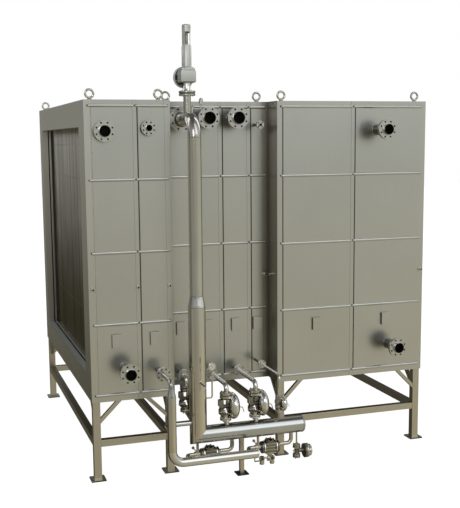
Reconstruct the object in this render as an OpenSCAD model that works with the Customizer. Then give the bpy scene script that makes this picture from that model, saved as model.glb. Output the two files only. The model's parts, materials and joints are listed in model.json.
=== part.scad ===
// Steam air heater: three casing modules on a square-tube frame, with the steam
// and condensate nozzles, the flash vessel and its traps along the front.

/* [Casing] */
// Height of the casing top above the floor
casing_top = 4800; // [4400:10:5200]
// Height of the casing underside above the floor
casing_base = 1030; // [950:5:1035]
// Depth of the inlet module, front to back
casing_depth = 4250; // [3800:10:4800]
// Length of the inlet (left) module
left_len = 1080; // [1080:5:1300]
// Length of the middle module
mid_len = 1480; // [1480:5:1700]
// Length of the outlet (right) module
right_len = 2200; // [2200:10:2600]
// How far the middle module's front stands behind the inlet module's
mid_setback = 480; // [460:5:520]
// How far the outlet module's front stands behind the inlet module's
right_setback = 140; // [120:5:180]
// Width and depth of the vertical panel joints
joint_w = 12; // [8:1:16]

/* [Duct openings] */
// Thickness of the duct flange frame at each end
frame_t = 88; // [70:1:100]
// Width of the front post of the duct frame
front_post = 390; // [300:5:450]
// Width of the back post of the duct frame
back_post = 275; // [200:5:350]
// Depth of the duct frame's top rail
top_rail = 325; // [250:5:400]
// Depth of the duct frame's bottom rail
bottom_rail = 313; // [250:1:350]
// Distance from the duct flange face to the finned coil
coil_recess = 178; // [160:1:200]
// Outer radius of the coil's finned tubes
fin_r = 28; // [20:1:29]
// Spacing of the coil's finned tubes
tube_pitch = 60; // [60:5:120]

/* [Trim rods] */
// Radius of the half-round rods along the panels
rod_r = 20; // [15:1:25]
// Height of the lowest rod above the casing underside
rod_lift = 88; // [70:1:100]
// Number of rods, bottom to top
rod_rows = 5; // [5]
// Height of the top rod below the casing top
rod_drop = 72; // [60:1:90]

/* [Frame] */
// Side of the square legs
leg_w = 95; // [80:5:100]
// Side of the square base plates
plate_w = 190; // [160:5:200]
// Thickness of the base plates
plate_t = 20; // [12:1:25]
// Distance of a leg from the casing's end
leg_inset_x = 12; // [10:1:20]
// Distance of a leg from the casing's front
leg_inset_y = 20; // [10:1:30]
// Side of the square lower beams
beam_w = 90; // [70:5:90]
// Height of the lower beams' top above the floor
beam_top = 530; // [480:5:560]
// Side of the square knee braces
brace_w = 50; // [40:5:60]
// How far a knee brace reaches along the casing underside
brace_reach = 285; // [240:5:300]
// Diameter of the anchor holes in the base plates
anchor_d = 18; // [14:1:22]
// Spacing of the anchor holes
anchor_pitch = 146; // [140:1:150]

/* [Flash line] */
// Distance of the flash riser and vessel in front of the inlet module
vessel_out = 355; // [340:5:380]
// Outer radius of the flash vessel and the lower riser
vessel_r = 109.5; // [100:0.5:112]
// Outer radius of the upper riser
riser_r = 84; // [76:1:88]
// Wall of the large pipes
pipe_wall = 8; // [5:0.5:10]
// Height of the vessel's axis
vessel_z = 588; // [580:1:600]
// Length of the vessel from the riser's axis to its blind end
vessel_len = 1438; // [1400:2:1500]
// Height of the bottom of the riser's reducer
reducer_z = 2240; // [2000:10:2600]
// Length of the riser's reducer
reducer_len = 140; // [120:5:160]
// Bend radius of the steam elbow
elbow_r = 229; // [200:1:240]

/* [Condensate line] */
// Distance of the condensate header in front of the inlet module
header_out = 656; // [640:2:680]
// Outer radius of the condensate header
header_r = 57; // [50:1:60]
// Height of the header's axis
header_z = 360; // [350:5:380]
// Where the header ends, from the casing's left end
header_end = 1982; // [1976:2:2020]
// Outer radius of the drain and trap pipes
drain_r = 30; // [26:1:34]
// Outer radius of the thin balance and drain tubes
tube_r = 17; // [12:1:20]

/* [Nozzles] */
// Height of the axes of the casing's upper nozzles
upper_nozzle_z = 4421; // [4380:1:4440]
// Height of the axes of the casing's lower nozzles
lower_nozzle_z = 1444; // [1400:1:1460]
// Height of the coil header nozzles at the top of the middle module
mid_upper_z = 4584; // [4560:1:4600]
// Height of the trap nozzles at the bottom of the middle module
mid_lower_z = 1206; // [1200:1:1230]
// Length of the open pipe stub in front of a flange
stub_len = 36; // [20:1:60]

/* [Hidden] */
$fn = 48;

// Colours
panel_grey = "#9ea196";
frame_olive = "#8c8671";
pipe_grey = "#a3a193";
dark_cast = "#4a4841";
fin_grey = "#6e6a60";

// Where the modules start and end along X, and their fronts and backs along Y
mid_x = left_len;
right_x = left_len + mid_len;
total_len = right_x + right_len;
mid_y = mid_setback;
right_y = right_setback;
rod_zs = [for (i = [0 : rod_rows - 1])
  casing_base + rod_lift + i * (casing_top - rod_drop - casing_base - rod_lift) / (rod_rows - 1)];
joint_low = rod_zs[0];
joint_high = rod_zs[rod_rows - 1];

// Distance of the gauge's siphon in front of the riser's axis, and of its cock's knob from it
siphon_out = 345;
cock_reach = 82;

// The origin is on the floor under the middle of the whole machine
x_min = leg_inset_x + leg_w / 2 - plate_w / 2;
x_max = total_len - x_min;
y_min = -vessel_out - siphon_out - cock_reach;
y_max = casing_depth - leg_inset_y - leg_w / 2 + plate_w / 2;
module site() {
  translate([-(x_min + x_max) / 2, -(y_min + y_max) / 2, 0]) children();
}

// Legs
leg_side = leg_inset_x + leg_w / 2;
leg_front = leg_inset_y + leg_w / 2;
leg_xs = [leg_side, left_len - leg_side, right_x + leg_side, total_len - leg_side];
leg_ys = [leg_front, leg_front, right_y + leg_front, right_y + leg_front];
leg_back_ys = [for (y = leg_ys) casing_depth - y];
// Which way the knee brace along the front leans from each leg
brace_dirs = [1, -1, 1, -1];

// Duct opening
open_y = [front_post, casing_depth - back_post];
open_z = [casing_base + bottom_rail, casing_top - top_rail];
lip_start = 107;
lip_end = 135;
lip_hide = 30;
coil_end = 600;

// Columns of the middle module's nozzles
col_x = [1285, 1664, 2062];
small_col_x = 2360;
vessel_y = -vessel_out;
header_y = -header_out;
riser_x = col_x[0];
elbow_z = mid_upper_z - 19;

// ---- Helpers ----

// Box between two opposite corners
module box(a, b) {
  translate(a) cube(b - a);
}

// Round bar along +Y, from the origin towards the front (-Y)
module forward(len, r, r2 = undef) {
  rotate([90, 0, 0]) cylinder(h = len, r1 = r, r2 = r2 == undef ? r : r2);
}

// Quarter bend of a pipe: enters at the origin along -Y, leaves downwards
module bend_down(bend, r) {
  translate([0, 0, -bend]) rotate([0, 0, 180]) rotate([0, -90, 0])
    rotate_extrude(angle = 90, $fn = 64) translate([bend, 0]) circle(r);
}

// Flange that faces the front: its back face at y = 0, holes right through
module front_flange(od, pcd, holes, hole_d, t, bore) {
  difference() {
    forward(t, od / 2);
    translate([0, 1, 0]) forward(t + 2, bore);
    for (i = [0 : holes - 1])
      rotate([0, (i + 0.5) * 360 / holes, 0]) translate([pcd / 2, 1, 0])
        forward(t + 2, hole_d / 2);
  }
}

// Open nozzle: neck from the wall, bolted flange and a short open stub in front of it
module open_nozzle(out, pipe_r, bore_r, od, pcd, holes, hole_d, t = 44, stub = stub_len) {
  neck = out - t;
  difference() {
    union() {
      forward(neck, pipe_r);
      translate([0, -neck, 0]) forward(t, od / 2);
      translate([0, -out, 0]) forward(stub, pipe_r + 6, pipe_r);
    }
    translate([0, -neck + 30, 0]) forward(t + stub + 40, bore_r);
    for (i = [0 : holes - 1])
      rotate([0, (i + 0.5) * 360 / holes, 0]) translate([pcd / 2, -neck + 1, 0])
        forward(t + 2, hole_d / 2);
  }
}

module large_nozzle(out) {
  open_nozzle(out, 70, 64, 262, 212, 8, 20);
}

module header_nozzle(out) {
  open_nozzle(out, 80, 69, 285, 236, 8, 22);
}

module small_nozzle(out) {
  open_nozzle(out, 38, 34, 185, 145, 8, 18, 36, 30);
}

module tube_nozzle(out) {
  open_nozzle(out, 17, 12, 105, 75, 4, 14, 30, 18);
}

// ---- Frame ----

module leg(x, y) {
  translate([x, y, 0]) difference() {
    union() {
      box([-plate_w / 2, -plate_w / 2, 0], [plate_w / 2, plate_w / 2, plate_t]);
      box([-leg_w / 2, -leg_w / 2, plate_t], [leg_w / 2, leg_w / 2, casing_base]);
    }
    for (sx = [-1, 1], sy = [-1, 1])
      translate([sx * anchor_pitch / 2, sy * anchor_pitch / 2, -1])
        cylinder(h = plate_t + 2, d = anchor_d);
  }
}

module legs_front() {
  color(frame_olive) for (i = [0 : 3]) leg(leg_xs[i], leg_ys[i]);
}

module legs_back() {
  color(frame_olive) for (i = [0 : 3]) leg(leg_xs[i], leg_back_ys[i]);
}

// Beams between the two legs under each outer module, in one row
module beam_row(ys, mirror_y) {
  for (i = [0, 2]) {
    y = mirror_y ? casing_depth - ys[i] : ys[i];
    box([leg_xs[i] + leg_w / 2, y - beam_w / 2, beam_top - beam_w],
        [leg_xs[i + 1] - leg_w / 2, y + beam_w / 2, beam_top]);
  }
}

module long_beams() {
  color(frame_olive) {
    beam_row(leg_ys, false);
    beam_row(leg_ys, true);
  }
}

module cross_beams() {
  color(frame_olive) for (i = [0 : 3])
    box([leg_xs[i] - beam_w / 2, leg_ys[i] + leg_w / 2, beam_top - beam_w],
        [leg_xs[i] + beam_w / 2, leg_back_ys[i] - leg_w / 2, beam_top]);
}

// Knee brace at 45 degrees: from a leg's face at x = 0 up to the casing underside
module knee_brace() {
  cut = brace_w * sqrt(2);
  translate([0, brace_w / 2, 0]) rotate([90, 0, 0]) linear_extrude(height = brace_w)
    polygon([[0, casing_base - brace_reach], [0, casing_base - brace_reach + cut],
             [brace_reach - cut, casing_base], [brace_reach, casing_base]]);
}

module knee_braces() {
  flush = (leg_w - brace_w) / 2;
  color(frame_olive) for (i = [0 : 3]) {
    dir = brace_dirs[i];
    side = leg_xs[i] + dir * leg_w / 2;
    translate([side, leg_ys[i] - flush, 0]) rotate([0, 0, dir > 0 ? 0 : 180]) knee_brace();
    translate([side, leg_back_ys[i] + flush, 0]) rotate([0, 0, dir > 0 ? 0 : 180]) knee_brace();
    translate([leg_xs[i], leg_ys[i] + leg_w / 2, 0]) rotate([0, 0, 90]) knee_brace();
    translate([leg_xs[i], leg_back_ys[i] - leg_w / 2, 0]) rotate([0, 0, -90]) knee_brace();
  }
}

// ---- Duct flange frames ----

// Posts and rails of the inlet end
module duct_posts() {
  box([0, 0, open_z[0]], [frame_t, open_y[0], open_z[1]]);
  box([0, open_y[1], open_z[0]], [frame_t, casing_depth, open_z[1]]);
}

module duct_rails() {
  box([0, 0, casing_base], [frame_t, casing_depth, open_z[0]]);
  box([0, 0, open_z[1]], [frame_t, casing_depth, casing_top]);
}

module outlet_end() {
  translate([total_len, right_y, 0]) mirror([1, 0, 0]) children();
}

outlet_depth = casing_depth - 2 * right_y;

module inlet_posts() {
  color(panel_grey) difference() {
    duct_posts();
    joints_at([frame_joint], 0, casing_depth);
  }
}

module inlet_rails() {
  color(panel_grey) difference() {
    duct_rails();
    joints_at([frame_joint], 0, casing_depth);
  }
}

module outlet_posts() {
  color(panel_grey) outlet_end() {
    box([0, 0, open_z[0]], [frame_t, back_post, open_z[1]]);
    box([0, outlet_depth - back_post, open_z[0]], [frame_t, outlet_depth, open_z[1]]);
  }
}

module outlet_rails() {
  color(panel_grey) outlet_end() {
    box([0, 0, casing_base], [frame_t, outlet_depth, open_z[0]]);
    box([0, 0, open_z[1]], [frame_t, outlet_depth, casing_top]);
  }
}

// Upright joint between the inlet frame and its casing, cut out of the frame's inner edge
frame_joint = frame_t - joint_w / 2;

// Upright joint cut into the front face at y = front and the back face at y = back
module joints_at(xs, front, back) {
  for (x = xs) {
    box([x - joint_w / 2, front - 1, joint_low], [x + joint_w / 2, front + joint_w, joint_high]);
    box([x - joint_w / 2, back - joint_w, joint_low], [x + joint_w / 2, back + 1, joint_high]);
  }
}

// Space behind a duct frame: black gap, lip round the opening, then the coil's chamber
module coil_chamber(y0, y1) {
  box([frame_t - 1, y0 - lip_hide, open_z[0] - lip_hide], [lip_start, y1 + lip_hide, open_z[1] + lip_hide]);
  box([frame_t - 1, y0, open_z[0]], [lip_end + 1, y1, open_z[1]]);
  box([lip_end, y0 - lip_hide, open_z[0]], [coil_end, y1 + lip_hide, open_z[1] + lip_hide]);
}

left_joint = 660;
mid_joints = [1160, 1524, 1916, 2316];
right_joints = [2640, 3691];

module casing_left() {
  color(panel_grey) difference() {
    box([frame_t, 0, casing_base], [mid_x, casing_depth, casing_top]);
    coil_chamber(open_y[0], open_y[1]);
    joints_at([left_joint], 0, casing_depth);
  }
}

module casing_middle() {
  back = casing_depth - mid_y;
  color(panel_grey) difference() {
    box([mid_x, mid_y, casing_base], [right_x, back, casing_top]);
    joints_at(mid_joints, mid_y, back);
  }
}

module casing_right() {
  back = casing_depth - right_y;
  color(panel_grey) difference() {
    box([right_x, right_y, casing_base], [total_len - frame_t, back, casing_top]);
    outlet_end() coil_chamber(back_post, outlet_depth - back_post);
    joints_at(right_joints, right_y, back);
  }
}

// Row of upright finned tubes in front of the coil's core
module coil_block(y0, y1) {
  low = open_z[0];
  high = open_z[1] + lip_hide;
  front = coil_recess + fin_r;
  count = floor((y1 - y0 + 2 * lip_hide) / tube_pitch);
  first = (y0 + y1 - (count - 1) * tube_pitch) / 2;
  box([front, y0 - lip_hide, low], [coil_end, y1 + lip_hide, high]);
  for (i = [0 : count - 1])
    translate([front, first + i * tube_pitch, low]) cylinder(h = high - low, r = fin_r);
}

module inlet_coil() {
  color(fin_grey) coil_block(open_y[0], open_y[1]);
}

module outlet_coil() {
  color(fin_grey) outlet_end() coil_block(back_post, outlet_depth - back_post);
}

// ---- Trim rods ----

// Half-round rod with rounded ends on a wall that faces the front; its ends are round about x0, x1
module rod_front(x0, x1, y, z) {
  translate([x0, y, z]) intersection() {
    union() {
      rotate([0, 90, 0]) cylinder(h = x1 - x0, r = rod_r);
      sphere(rod_r);
      translate([x1 - x0, 0, 0]) sphere(rod_r);
    }
    box([-2 * rod_r, -rod_r, -rod_r], [x1 - x0 + 2 * rod_r, 0, rod_r]);
  }
}

// Rods between the joints of one module, on its front and its back
module rod_rows_on(spans, front, back) {
  for (z = rod_zs, s = spans) {
    rod_front(s[0], s[1], front, z);
    translate([0, back, 0]) mirror([0, 1, 0]) rod_front(s[0], s[1], 0, z);
  }
}

// A rod starts a little before a joint and ends well before the next one
rod_start = 10;
rod_stop = 55;
left_spans = [[66, left_joint - rod_stop], [left_joint - rod_start, 1035]];
mid_spans = [for (i = [0 : 3])
  [mid_joints[i] - rod_start, i < 3 ? mid_joints[i + 1] - rod_stop : right_x - 50]];
right_spans = [[right_joints[0] - rod_start, right_joints[1] - rod_stop],
               [right_joints[1] - rod_start, total_len - 68]];

module trim_rods_left() {
  color(panel_grey) rod_rows_on(left_spans, 0, casing_depth);
}

module trim_rods_middle() {
  color(panel_grey) rod_rows_on(mid_spans, mid_y, casing_depth - mid_y);
}

module trim_rods_right() {
  color(panel_grey) rod_rows_on(right_spans, right_y, casing_depth - right_y);
}

// ---- Small fittings on the casing ----

cover_t = 30;
cover_size = [124, 170];
cover_z = 1805;

// Blank cover plates over the hand holes, one below each pass of the coils
module inspection_plates() {
  places = [
    [337, 0, cover_z], [830, 0, cover_z],
    [col_x[0] + 22, mid_y, cover_z], [col_x[1] + 22, mid_y, cover_z],
    [col_x[2] + 20, mid_y, cover_z], [small_col_x + 34, mid_y, cover_z],
    [3134, right_y, cover_z], [4179, right_y, cover_z],
  ];
  color(panel_grey) for (p = places)
    box([p[0] - cover_size[0] / 2, p[1] - cover_t, p[2] - cover_size[1] / 2],
        [p[0] + cover_size[0] / 2, p[1], p[2] + cover_size[1] / 2]);
}

tap_z = 2475;
tap_len = 45;

module tap() {
  difference() {
    forward(tap_len, 21);
    translate([0, -10, 0]) forward(tap_len, 11);
  }
}

// Open sampling and pressure stubs
module tapping_stubs() {
  color(pipe_grey) {
    for (x = [48, 624, 1034]) translate([x, 0, tap_z]) tap();
    translate([2512, mid_y, tap_z]) tap();
    translate([total_len - 46, right_y, tap_z]) tap();
    translate([right_x, 320, tap_z + 20]) rotate([0, 0, -90]) tap();
  }
}

eye_major = 42;
eye_minor = 11;

module lifting_eye() {
  translate([0, 0, casing_top]) {
    cylinder(h = 12, r = 30);
    translate([0, 0, 12]) cylinder(h = 12, r1 = 22, r2 = 14);
    translate([0, 0, 12 + eye_major + eye_minor]) rotate([90, 0, 0])
      rotate_extrude() translate([eye_major, 0]) circle(eye_minor);
  }
}

// One eye bolt at each corner of each module
module lifting_eyes() {
  inset = [95, 125];
  inset_y = 100;
  modules = [[0, mid_x, 0], [mid_x, right_x, mid_y], [right_x, total_len, right_y]];
  color(pipe_grey) for (m = modules)
    for (x = [m[0] + inset[0], m[1] - inset[1]], y = [m[2] + inset_y, casing_depth - m[2] - inset_y])
      translate([x, y, 0]) lifting_eye();
}

// ---- Open nozzles ----

module nozzle_left_upper() {
  color(pipe_grey) translate([240, 0, upper_nozzle_z]) large_nozzle(62);
}

module nozzle_left_upper_small() {
  color(pipe_grey) translate([791, 0, upper_nozzle_z + 34]) small_nozzle(62);
}

module nozzle_left_lower() {
  color(pipe_grey) translate([433, 0, lower_nozzle_z]) large_nozzle(341);
}

module nozzles_mid_upper() {
  color(pipe_grey) for (i = [1, 2]) translate([col_x[i], mid_y, mid_upper_z]) header_nozzle(242);
}

module nozzle_mid_small() {
  color(pipe_grey) translate([small_col_x, mid_y, mid_upper_z - 90]) tube_nozzle(255);
}

module nozzle_right_upper() {
  color(pipe_grey) translate([4018, right_y, upper_nozzle_z]) large_nozzle(310);
}

module nozzle_right_lower() {
  color(pipe_grey) translate([4227, right_y, lower_nozzle_z]) large_nozzle(305);
}

// ---- Flash line ----

steam_flange_t = 44;
steam_out = 290;
valve_y = -62;
branch_r = 47;
valve_base = 4847;

// First coil nozzle with its flange, the elbow to the riser and the valve branch
module steam_elbow() {
  run_start = mid_y - steam_out;
  run_end = vessel_y + elbow_r;
  color(pipe_grey) translate([riser_x, 0, elbow_z]) {
    translate([0, mid_y, 0]) forward(steam_out - steam_flange_t, 97);
    translate([0, run_start + steam_flange_t, 0])
      front_flange(322, 264, 8, 22, steam_flange_t, 90);
    translate([0, run_start + steam_flange_t, 0]) forward(steam_flange_t, 91);
    translate([0, run_start, 0]) forward(50, 98, riser_r);
    translate([0, run_start - 50, 0]) forward(run_start - 50 - run_end, riser_r);
    translate([0, run_end, 0]) bend_down(elbow_r, riser_r);
    difference() {
      translate([0, valve_y, 0]) cylinder(h = valve_base - elbow_z, r = branch_r);
      translate([0, 200, 0]) forward(500, riser_r - 1);
    }
  }
}

// Riser: upper pipe, reducer and lower pipe, cut at 45 degrees to meet the vessel
module flash_riser() {
  top = elbow_z - elbow_r;
  color(pipe_grey) translate([riser_x, vessel_y, 0]) {
    difference() {
      rotate_extrude() polygon([
        [vessel_r - pipe_wall, vessel_z - vessel_r], [vessel_r, vessel_z - vessel_r],
        [vessel_r, reducer_z], [riser_r, reducer_z + reducer_len], [riser_r, top],
        [riser_r - pipe_wall, top], [riser_r - pipe_wall, reducer_z + reducer_len],
        [vessel_r - pipe_wall, reducer_z],
      ]);
      translate([0, 0, vessel_z]) rotate([0, -45, 0])
        translate([-300, -300, -600]) cube([600, 600, 600]);
    }
  }
}

// Horizontal flash vessel, a pipe cut at 45 degrees where the riser comes down
module flash_vessel() {
  color(pipe_grey) translate([riser_x, vessel_y, vessel_z]) difference() {
    translate([-vessel_r, 0, 0]) rotate([0, 90, 0])
      cylinder(h = vessel_len + vessel_r - 26, r = vessel_r);
    translate([-vessel_r - 1, 0, 0]) rotate([0, 90, 0])
      cylinder(h = vessel_len + vessel_r, r = vessel_r - pipe_wall);
    rotate([0, -45, 0]) translate([-300, -300, 0]) cube([600, 600, 600]);
  }
}

module vessel_end_plate() {
  color(pipe_grey) translate([riser_x + vessel_len - 26, vessel_y, vessel_z]) rotate([0, 90, 0])
    rotate_extrude() polygon([[0, 0], [vessel_r, 0], [vessel_r, 10], [vessel_r - 6, 20],
                              [vessel_r - 16, 26], [0, 26]]);
}

support_x = 1866;

// Post under the vessel with its base plate and saddle
module vessel_support() {
  color(frame_olive) translate([support_x, vessel_y + 6, 0]) {
    box([-77, -77, 0], [77, 77, 15]);
    difference() {
      box([-27, -27, 15], [27, 27, vessel_z - 70]);
      translate([-50, -6, vessel_z]) rotate([0, 90, 0]) cylinder(h = 100, r = vessel_r);
    }
  }
}

// ---- Condensate line ----

drop_x = 860;
drop_z = 1397;
drop_out = 314;
drop_bend = 76;
drop_reducer = [1204, 1317];
header_bend = 150;

// Lower nozzle of the inlet module, its flange, elbow, reducer and drop pipe
module condensate_drop() {
  color(pipe_grey) translate([drop_x, 0, 0]) {
    translate([0, 0, drop_z]) {
      forward(drop_out - 36, 38);
      translate([0, -drop_out + 36, 0]) front_flange(185, 145, 8, 18, 36, drain_r);
      translate([0, -drop_out + 36, 0]) forward(36, drain_r);
      translate([0, -drop_out, 0]) forward(22, 40, drain_r);
      translate([0, -drop_out - 22, 0]) forward(header_out - drop_out - 22 - drop_bend, drain_r);
      translate([0, header_y + drop_bend, 0]) bend_down(drop_bend, drain_r);
    }
    translate([0, header_y, 0]) {
      translate([0, 0, drop_reducer[1]]) cylinder(h = drop_z - drop_bend - drop_reducer[1], r = drain_r);
      translate([0, 0, drop_reducer[0]])
        cylinder(h = drop_reducer[1] - drop_reducer[0], r1 = header_r, r2 = drain_r);
      translate([0, 0, header_z + header_bend])
        cylinder(h = drop_reducer[0] - header_z - header_bend, r = header_r);
    }
  }
}

// Header along the floor with its bend and blind end
module condensate_header() {
  color(pipe_grey) translate([drop_x, header_y, header_z]) {
    translate([header_bend, 0, header_bend]) rotate([90, 0, 0]) rotate([0, 0, 180])
      rotate_extrude(angle = 90, $fn = 64) translate([header_bend, 0]) circle(header_r);
    translate([header_bend, 0, 0]) rotate([0, 90, 0])
      cylinder(h = header_end - drop_x - header_bend - 8, r = header_r);
    translate([header_end - drop_x - 8, 0, 0]) rotate([0, 90, 0])
      cylinder(h = 8, r1 = header_r, r2 = header_r - 8);
  }
}

cross_z = 757;
cross_r = 34;
cross_bend = 76;

// Pipe from the drop pipe back and then across to the foot of the riser
module cross_pipe() {
  back = vessel_y - header_y - cross_bend;
  across = riser_x - drop_x - cross_bend;
  color(pipe_grey) difference() {
    translate([drop_x, header_y, cross_z]) {
      translate([0, back, 0]) forward(back, cross_r);
      translate([cross_bend, back, 0]) rotate([0, 0, 90])
        rotate_extrude(angle = 90, $fn = 64) translate([cross_bend, 0]) circle(cross_r);
      translate([cross_bend, back + cross_bend, 0]) rotate([0, 90, 0])
        cylinder(h = across, r = cross_r);
    }
    translate([drop_x, header_y, cross_z - 2 * cross_r]) cylinder(h = 4 * cross_r, r = header_r);
    translate([riser_x, vessel_y, cross_z - 2 * cross_r]) cylinder(h = 4 * cross_r, r = vessel_r);
  }
}

// ---- Safety valve ----

valve_body_half = [90, 82];
valve_body_cut = 14;
valve_body_z = [5001, 5179];
outlet_out = 160;

// Rectangle with its corners cut off
module cut_rectangle(half, cut) {
  x = half[0];
  y = half[1];
  polygon([[x, y - cut], [x - cut, y], [cut - x, y], [-x, y - cut],
           [-x, cut - y], [cut - x, -y], [x - cut, -y], [x, cut - y]]);
}

// Inlet flanges, nozzle cone, square body and the outlet flange that faces the back
module safety_valve_body() {
  color(pipe_grey) translate([riser_x, valve_y, 0]) {
    translate([0, 0, valve_base]) cylinder(h = 26, r = 104);
    translate([0, 0, valve_base + 26]) cylinder(h = 5, r = 92);
    translate([0, 0, valve_base + 31]) cylinder(h = 26, r = 104);
    translate([0, 0, valve_base + 57])
      cylinder(h = valve_body_z[0] - valve_base - 57, r1 = 56, r2 = 45);
    translate([0, 0, valve_body_z[0]])
      linear_extrude(height = valve_body_z[1] - valve_body_z[0])
        cut_rectangle(valve_body_half, valve_body_cut);
    translate([0, outlet_out, 5078]) forward(outlet_out, 80);
    translate([0, outlet_out, 5078]) forward(26, 132);
  }
}

// Spring bonnet, open yoke section and cap
module safety_valve_bonnet() {
  color(pipe_grey) translate([riser_x, valve_y, valve_body_z[1]]) {
    cylinder(h = 268, r = 60);
    translate([0, 0, 268]) cylinder(h = 182, r = 53);
    translate([0, 0, 450]) cylinder(h = 70, r = 53);
    translate([0, 0, 520]) cylinder(h = 8, r1 = 53, r2 = 46);
    translate([78, 0, 0]) cylinder(h = 24, r = 8);
  }
}

// Thermostatic air vent on a thin tube from a small fitting on top of the elbow
vent_x = riser_x + 179;
vent_root_x = riser_x + 63;
vent_z = 4688;
vent_tube_r = 9;
vent_r = 26;
vent_low = 4746;
vent_high = 4795;

module air_vent() {
  color(pipe_grey) translate([0, valve_y, 0]) {
    difference() {
      translate([vent_root_x, 0, elbow_z]) cylinder(h = vent_z + 26 - elbow_z, r = 15);
      translate([riser_x, 200, elbow_z]) forward(500, riser_r);
    }
    translate([vent_root_x, 0, vent_z]) rotate([0, 90, 0])
      cylinder(h = vent_x - vent_root_x, r = vent_tube_r);
    translate([vent_x, 0, vent_z]) {
      sphere(vent_tube_r);
      cylinder(h = vent_low + 1 - vent_z, r = vent_tube_r);
    }
    translate([vent_x, 0, vent_low]) cylinder(h = vent_high - vent_low, r = vent_r);
    translate([vent_x, 0, vent_high]) sphere(vent_r);
  }
}

// ---- Trap lines ----

trap_bend = 70;
trap_top = 1110;
trap_flange_r = 74;

// Nozzle, flange and pipe to the inlet of a trap that hangs at (0, y_trap)
module trap_line(y_trap, z, r, out, od, pcd, z_top) {
  t = 36;
  run = mid_y - out;
  translate([0, 0, z]) {
    translate([0, mid_y, 0]) forward(out - t, r);
    translate([0, run + t, 0]) front_flange(od, pcd, 4, 18, t, r);
    translate([0, run + t, 0]) forward(t, r);
    translate([0, run, 0]) forward(max(run - y_trap - trap_bend, 1), r);
    translate([0, y_trap + trap_bend, 0]) bend_down(trap_bend, r);
    translate([0, y_trap, z_top - z]) cylinder(h = z - z_top - trap_bend, r = r);
  }
}

trap_1_y = 180;

module trap_line_1() {
  color(pipe_grey) translate([col_x[0], 0, 0]) {
    trap_line(trap_1_y, mid_lower_z, drain_r, 215, 165, 125, trap_top);
  }
}

module trap_line_2() {
  color(pipe_grey) translate([col_x[1], 0, 0])
    trap_line(vessel_y, mid_lower_z, drain_r, 221, 165, 125, trap_top);
}

module trap_line_3() {
  color(pipe_grey) translate([col_x[2], 0, 0])
    trap_line(vessel_y, mid_lower_z, drain_r, 221, 165, 125, trap_top);
}

small_trap_top = 1019;
small_trap_y = vessel_y - 85;

module trap_line_small() {
  color(pipe_grey) translate([small_col_x, 0, 0])
    trap_line(small_trap_y, 1290, tube_r, 290, 105, 75, small_trap_top);
}

// What is left of a pipe or trap once the flash vessel's own space is taken out of it
module clear_of_vessel() {
  difference() {
    children();
    translate([riser_x - vessel_r, vessel_y, vessel_z]) rotate([0, 90, 0])
      cylinder(h = vessel_len + vessel_r, r = vessel_r);
  }
}

chamber_r = 170;
chamber_half = 70;
chamber_x = 86;
chamber_z = -186;

// Float trap with its inlet flange at z = 0, hanging down; k scales its castings
module float_trap(k) {
  // Inlet flange, body, outlet flange
  translate([-12 * k, 0, -74 * k]) cylinder(h = 74 * k, r = trap_flange_r * k);
  box([-85 * k, -62 * k, -330 * k], [14 * k, 62 * k, -74 * k]);
  translate([-12 * k, 0, -trap_fall * k]) cylinder(h = 36 * k, r = trap_flange_r * k);
  // Float chamber, a smooth flattened ball on the body's right side
  translate([chamber_x * k, 0, chamber_z * k]) rotate([0, 90, 0])
    rotate_extrude() intersection() {
      scale([1, chamber_half / chamber_r]) circle(chamber_r * k);
      translate([0, -chamber_half * k]) square([chamber_r * k, 2 * chamber_half * k]);
    }
}

trap_fall = 365;

// Straight tail pipe from a trap's outlet down into the vessel
module trap_tail(top, r) {
  translate([0, 0, vessel_z]) cylinder(h = top - vessel_z, r = r);
}

module float_trap_1() {
  outlet_z = trap_top - trap_fall;
  run = trap_1_y - vessel_y;
  color(dark_cast) clear_of_vessel() translate([col_x[0], trap_1_y, 0]) {
    translate([0, 0, trap_top]) float_trap(1);
    // Slanted tail to the vessel behind the riser
    translate([0, 0, outlet_z]) rotate([atan2(run, vessel_z - outlet_z), 0, 0])
      cylinder(h = norm([run, outlet_z - vessel_z]), r = drain_r);
  }
}

module hanging_trap(x) {
  color(dark_cast) clear_of_vessel() translate([x, vessel_y, 0]) {
    translate([0, 0, trap_top]) float_trap(1);
    trap_tail(trap_top - trap_fall, drain_r);
  }
}

module float_trap_2() {
  hanging_trap(col_x[1]);
}

module float_trap_3() {
  hanging_trap(col_x[2]);
}

module float_trap_small() {
  k = 0.58;
  color(dark_cast) clear_of_vessel() translate([small_col_x, small_trap_y, 0]) {
    translate([0, 0, small_trap_top]) float_trap(k);
    trap_tail(small_trap_top - trap_fall * k, tube_r);
  }
}

// ---- Instruments ----

siphon_y = vessel_y - siphon_out;
siphon_pitch = 82;
siphon_top = 1297;
siphon_low = 1160;
siphon_bend = 22;
siphon_r = 10;
gauge_z = 1550;

// Quarter bend of the siphon tube, in the plane that faces the front
module siphon_bend() {
  rotate([90, 0, 0]) rotate_extrude(angle = 90) translate([siphon_bend, 0]) circle(siphon_r);
}

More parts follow.
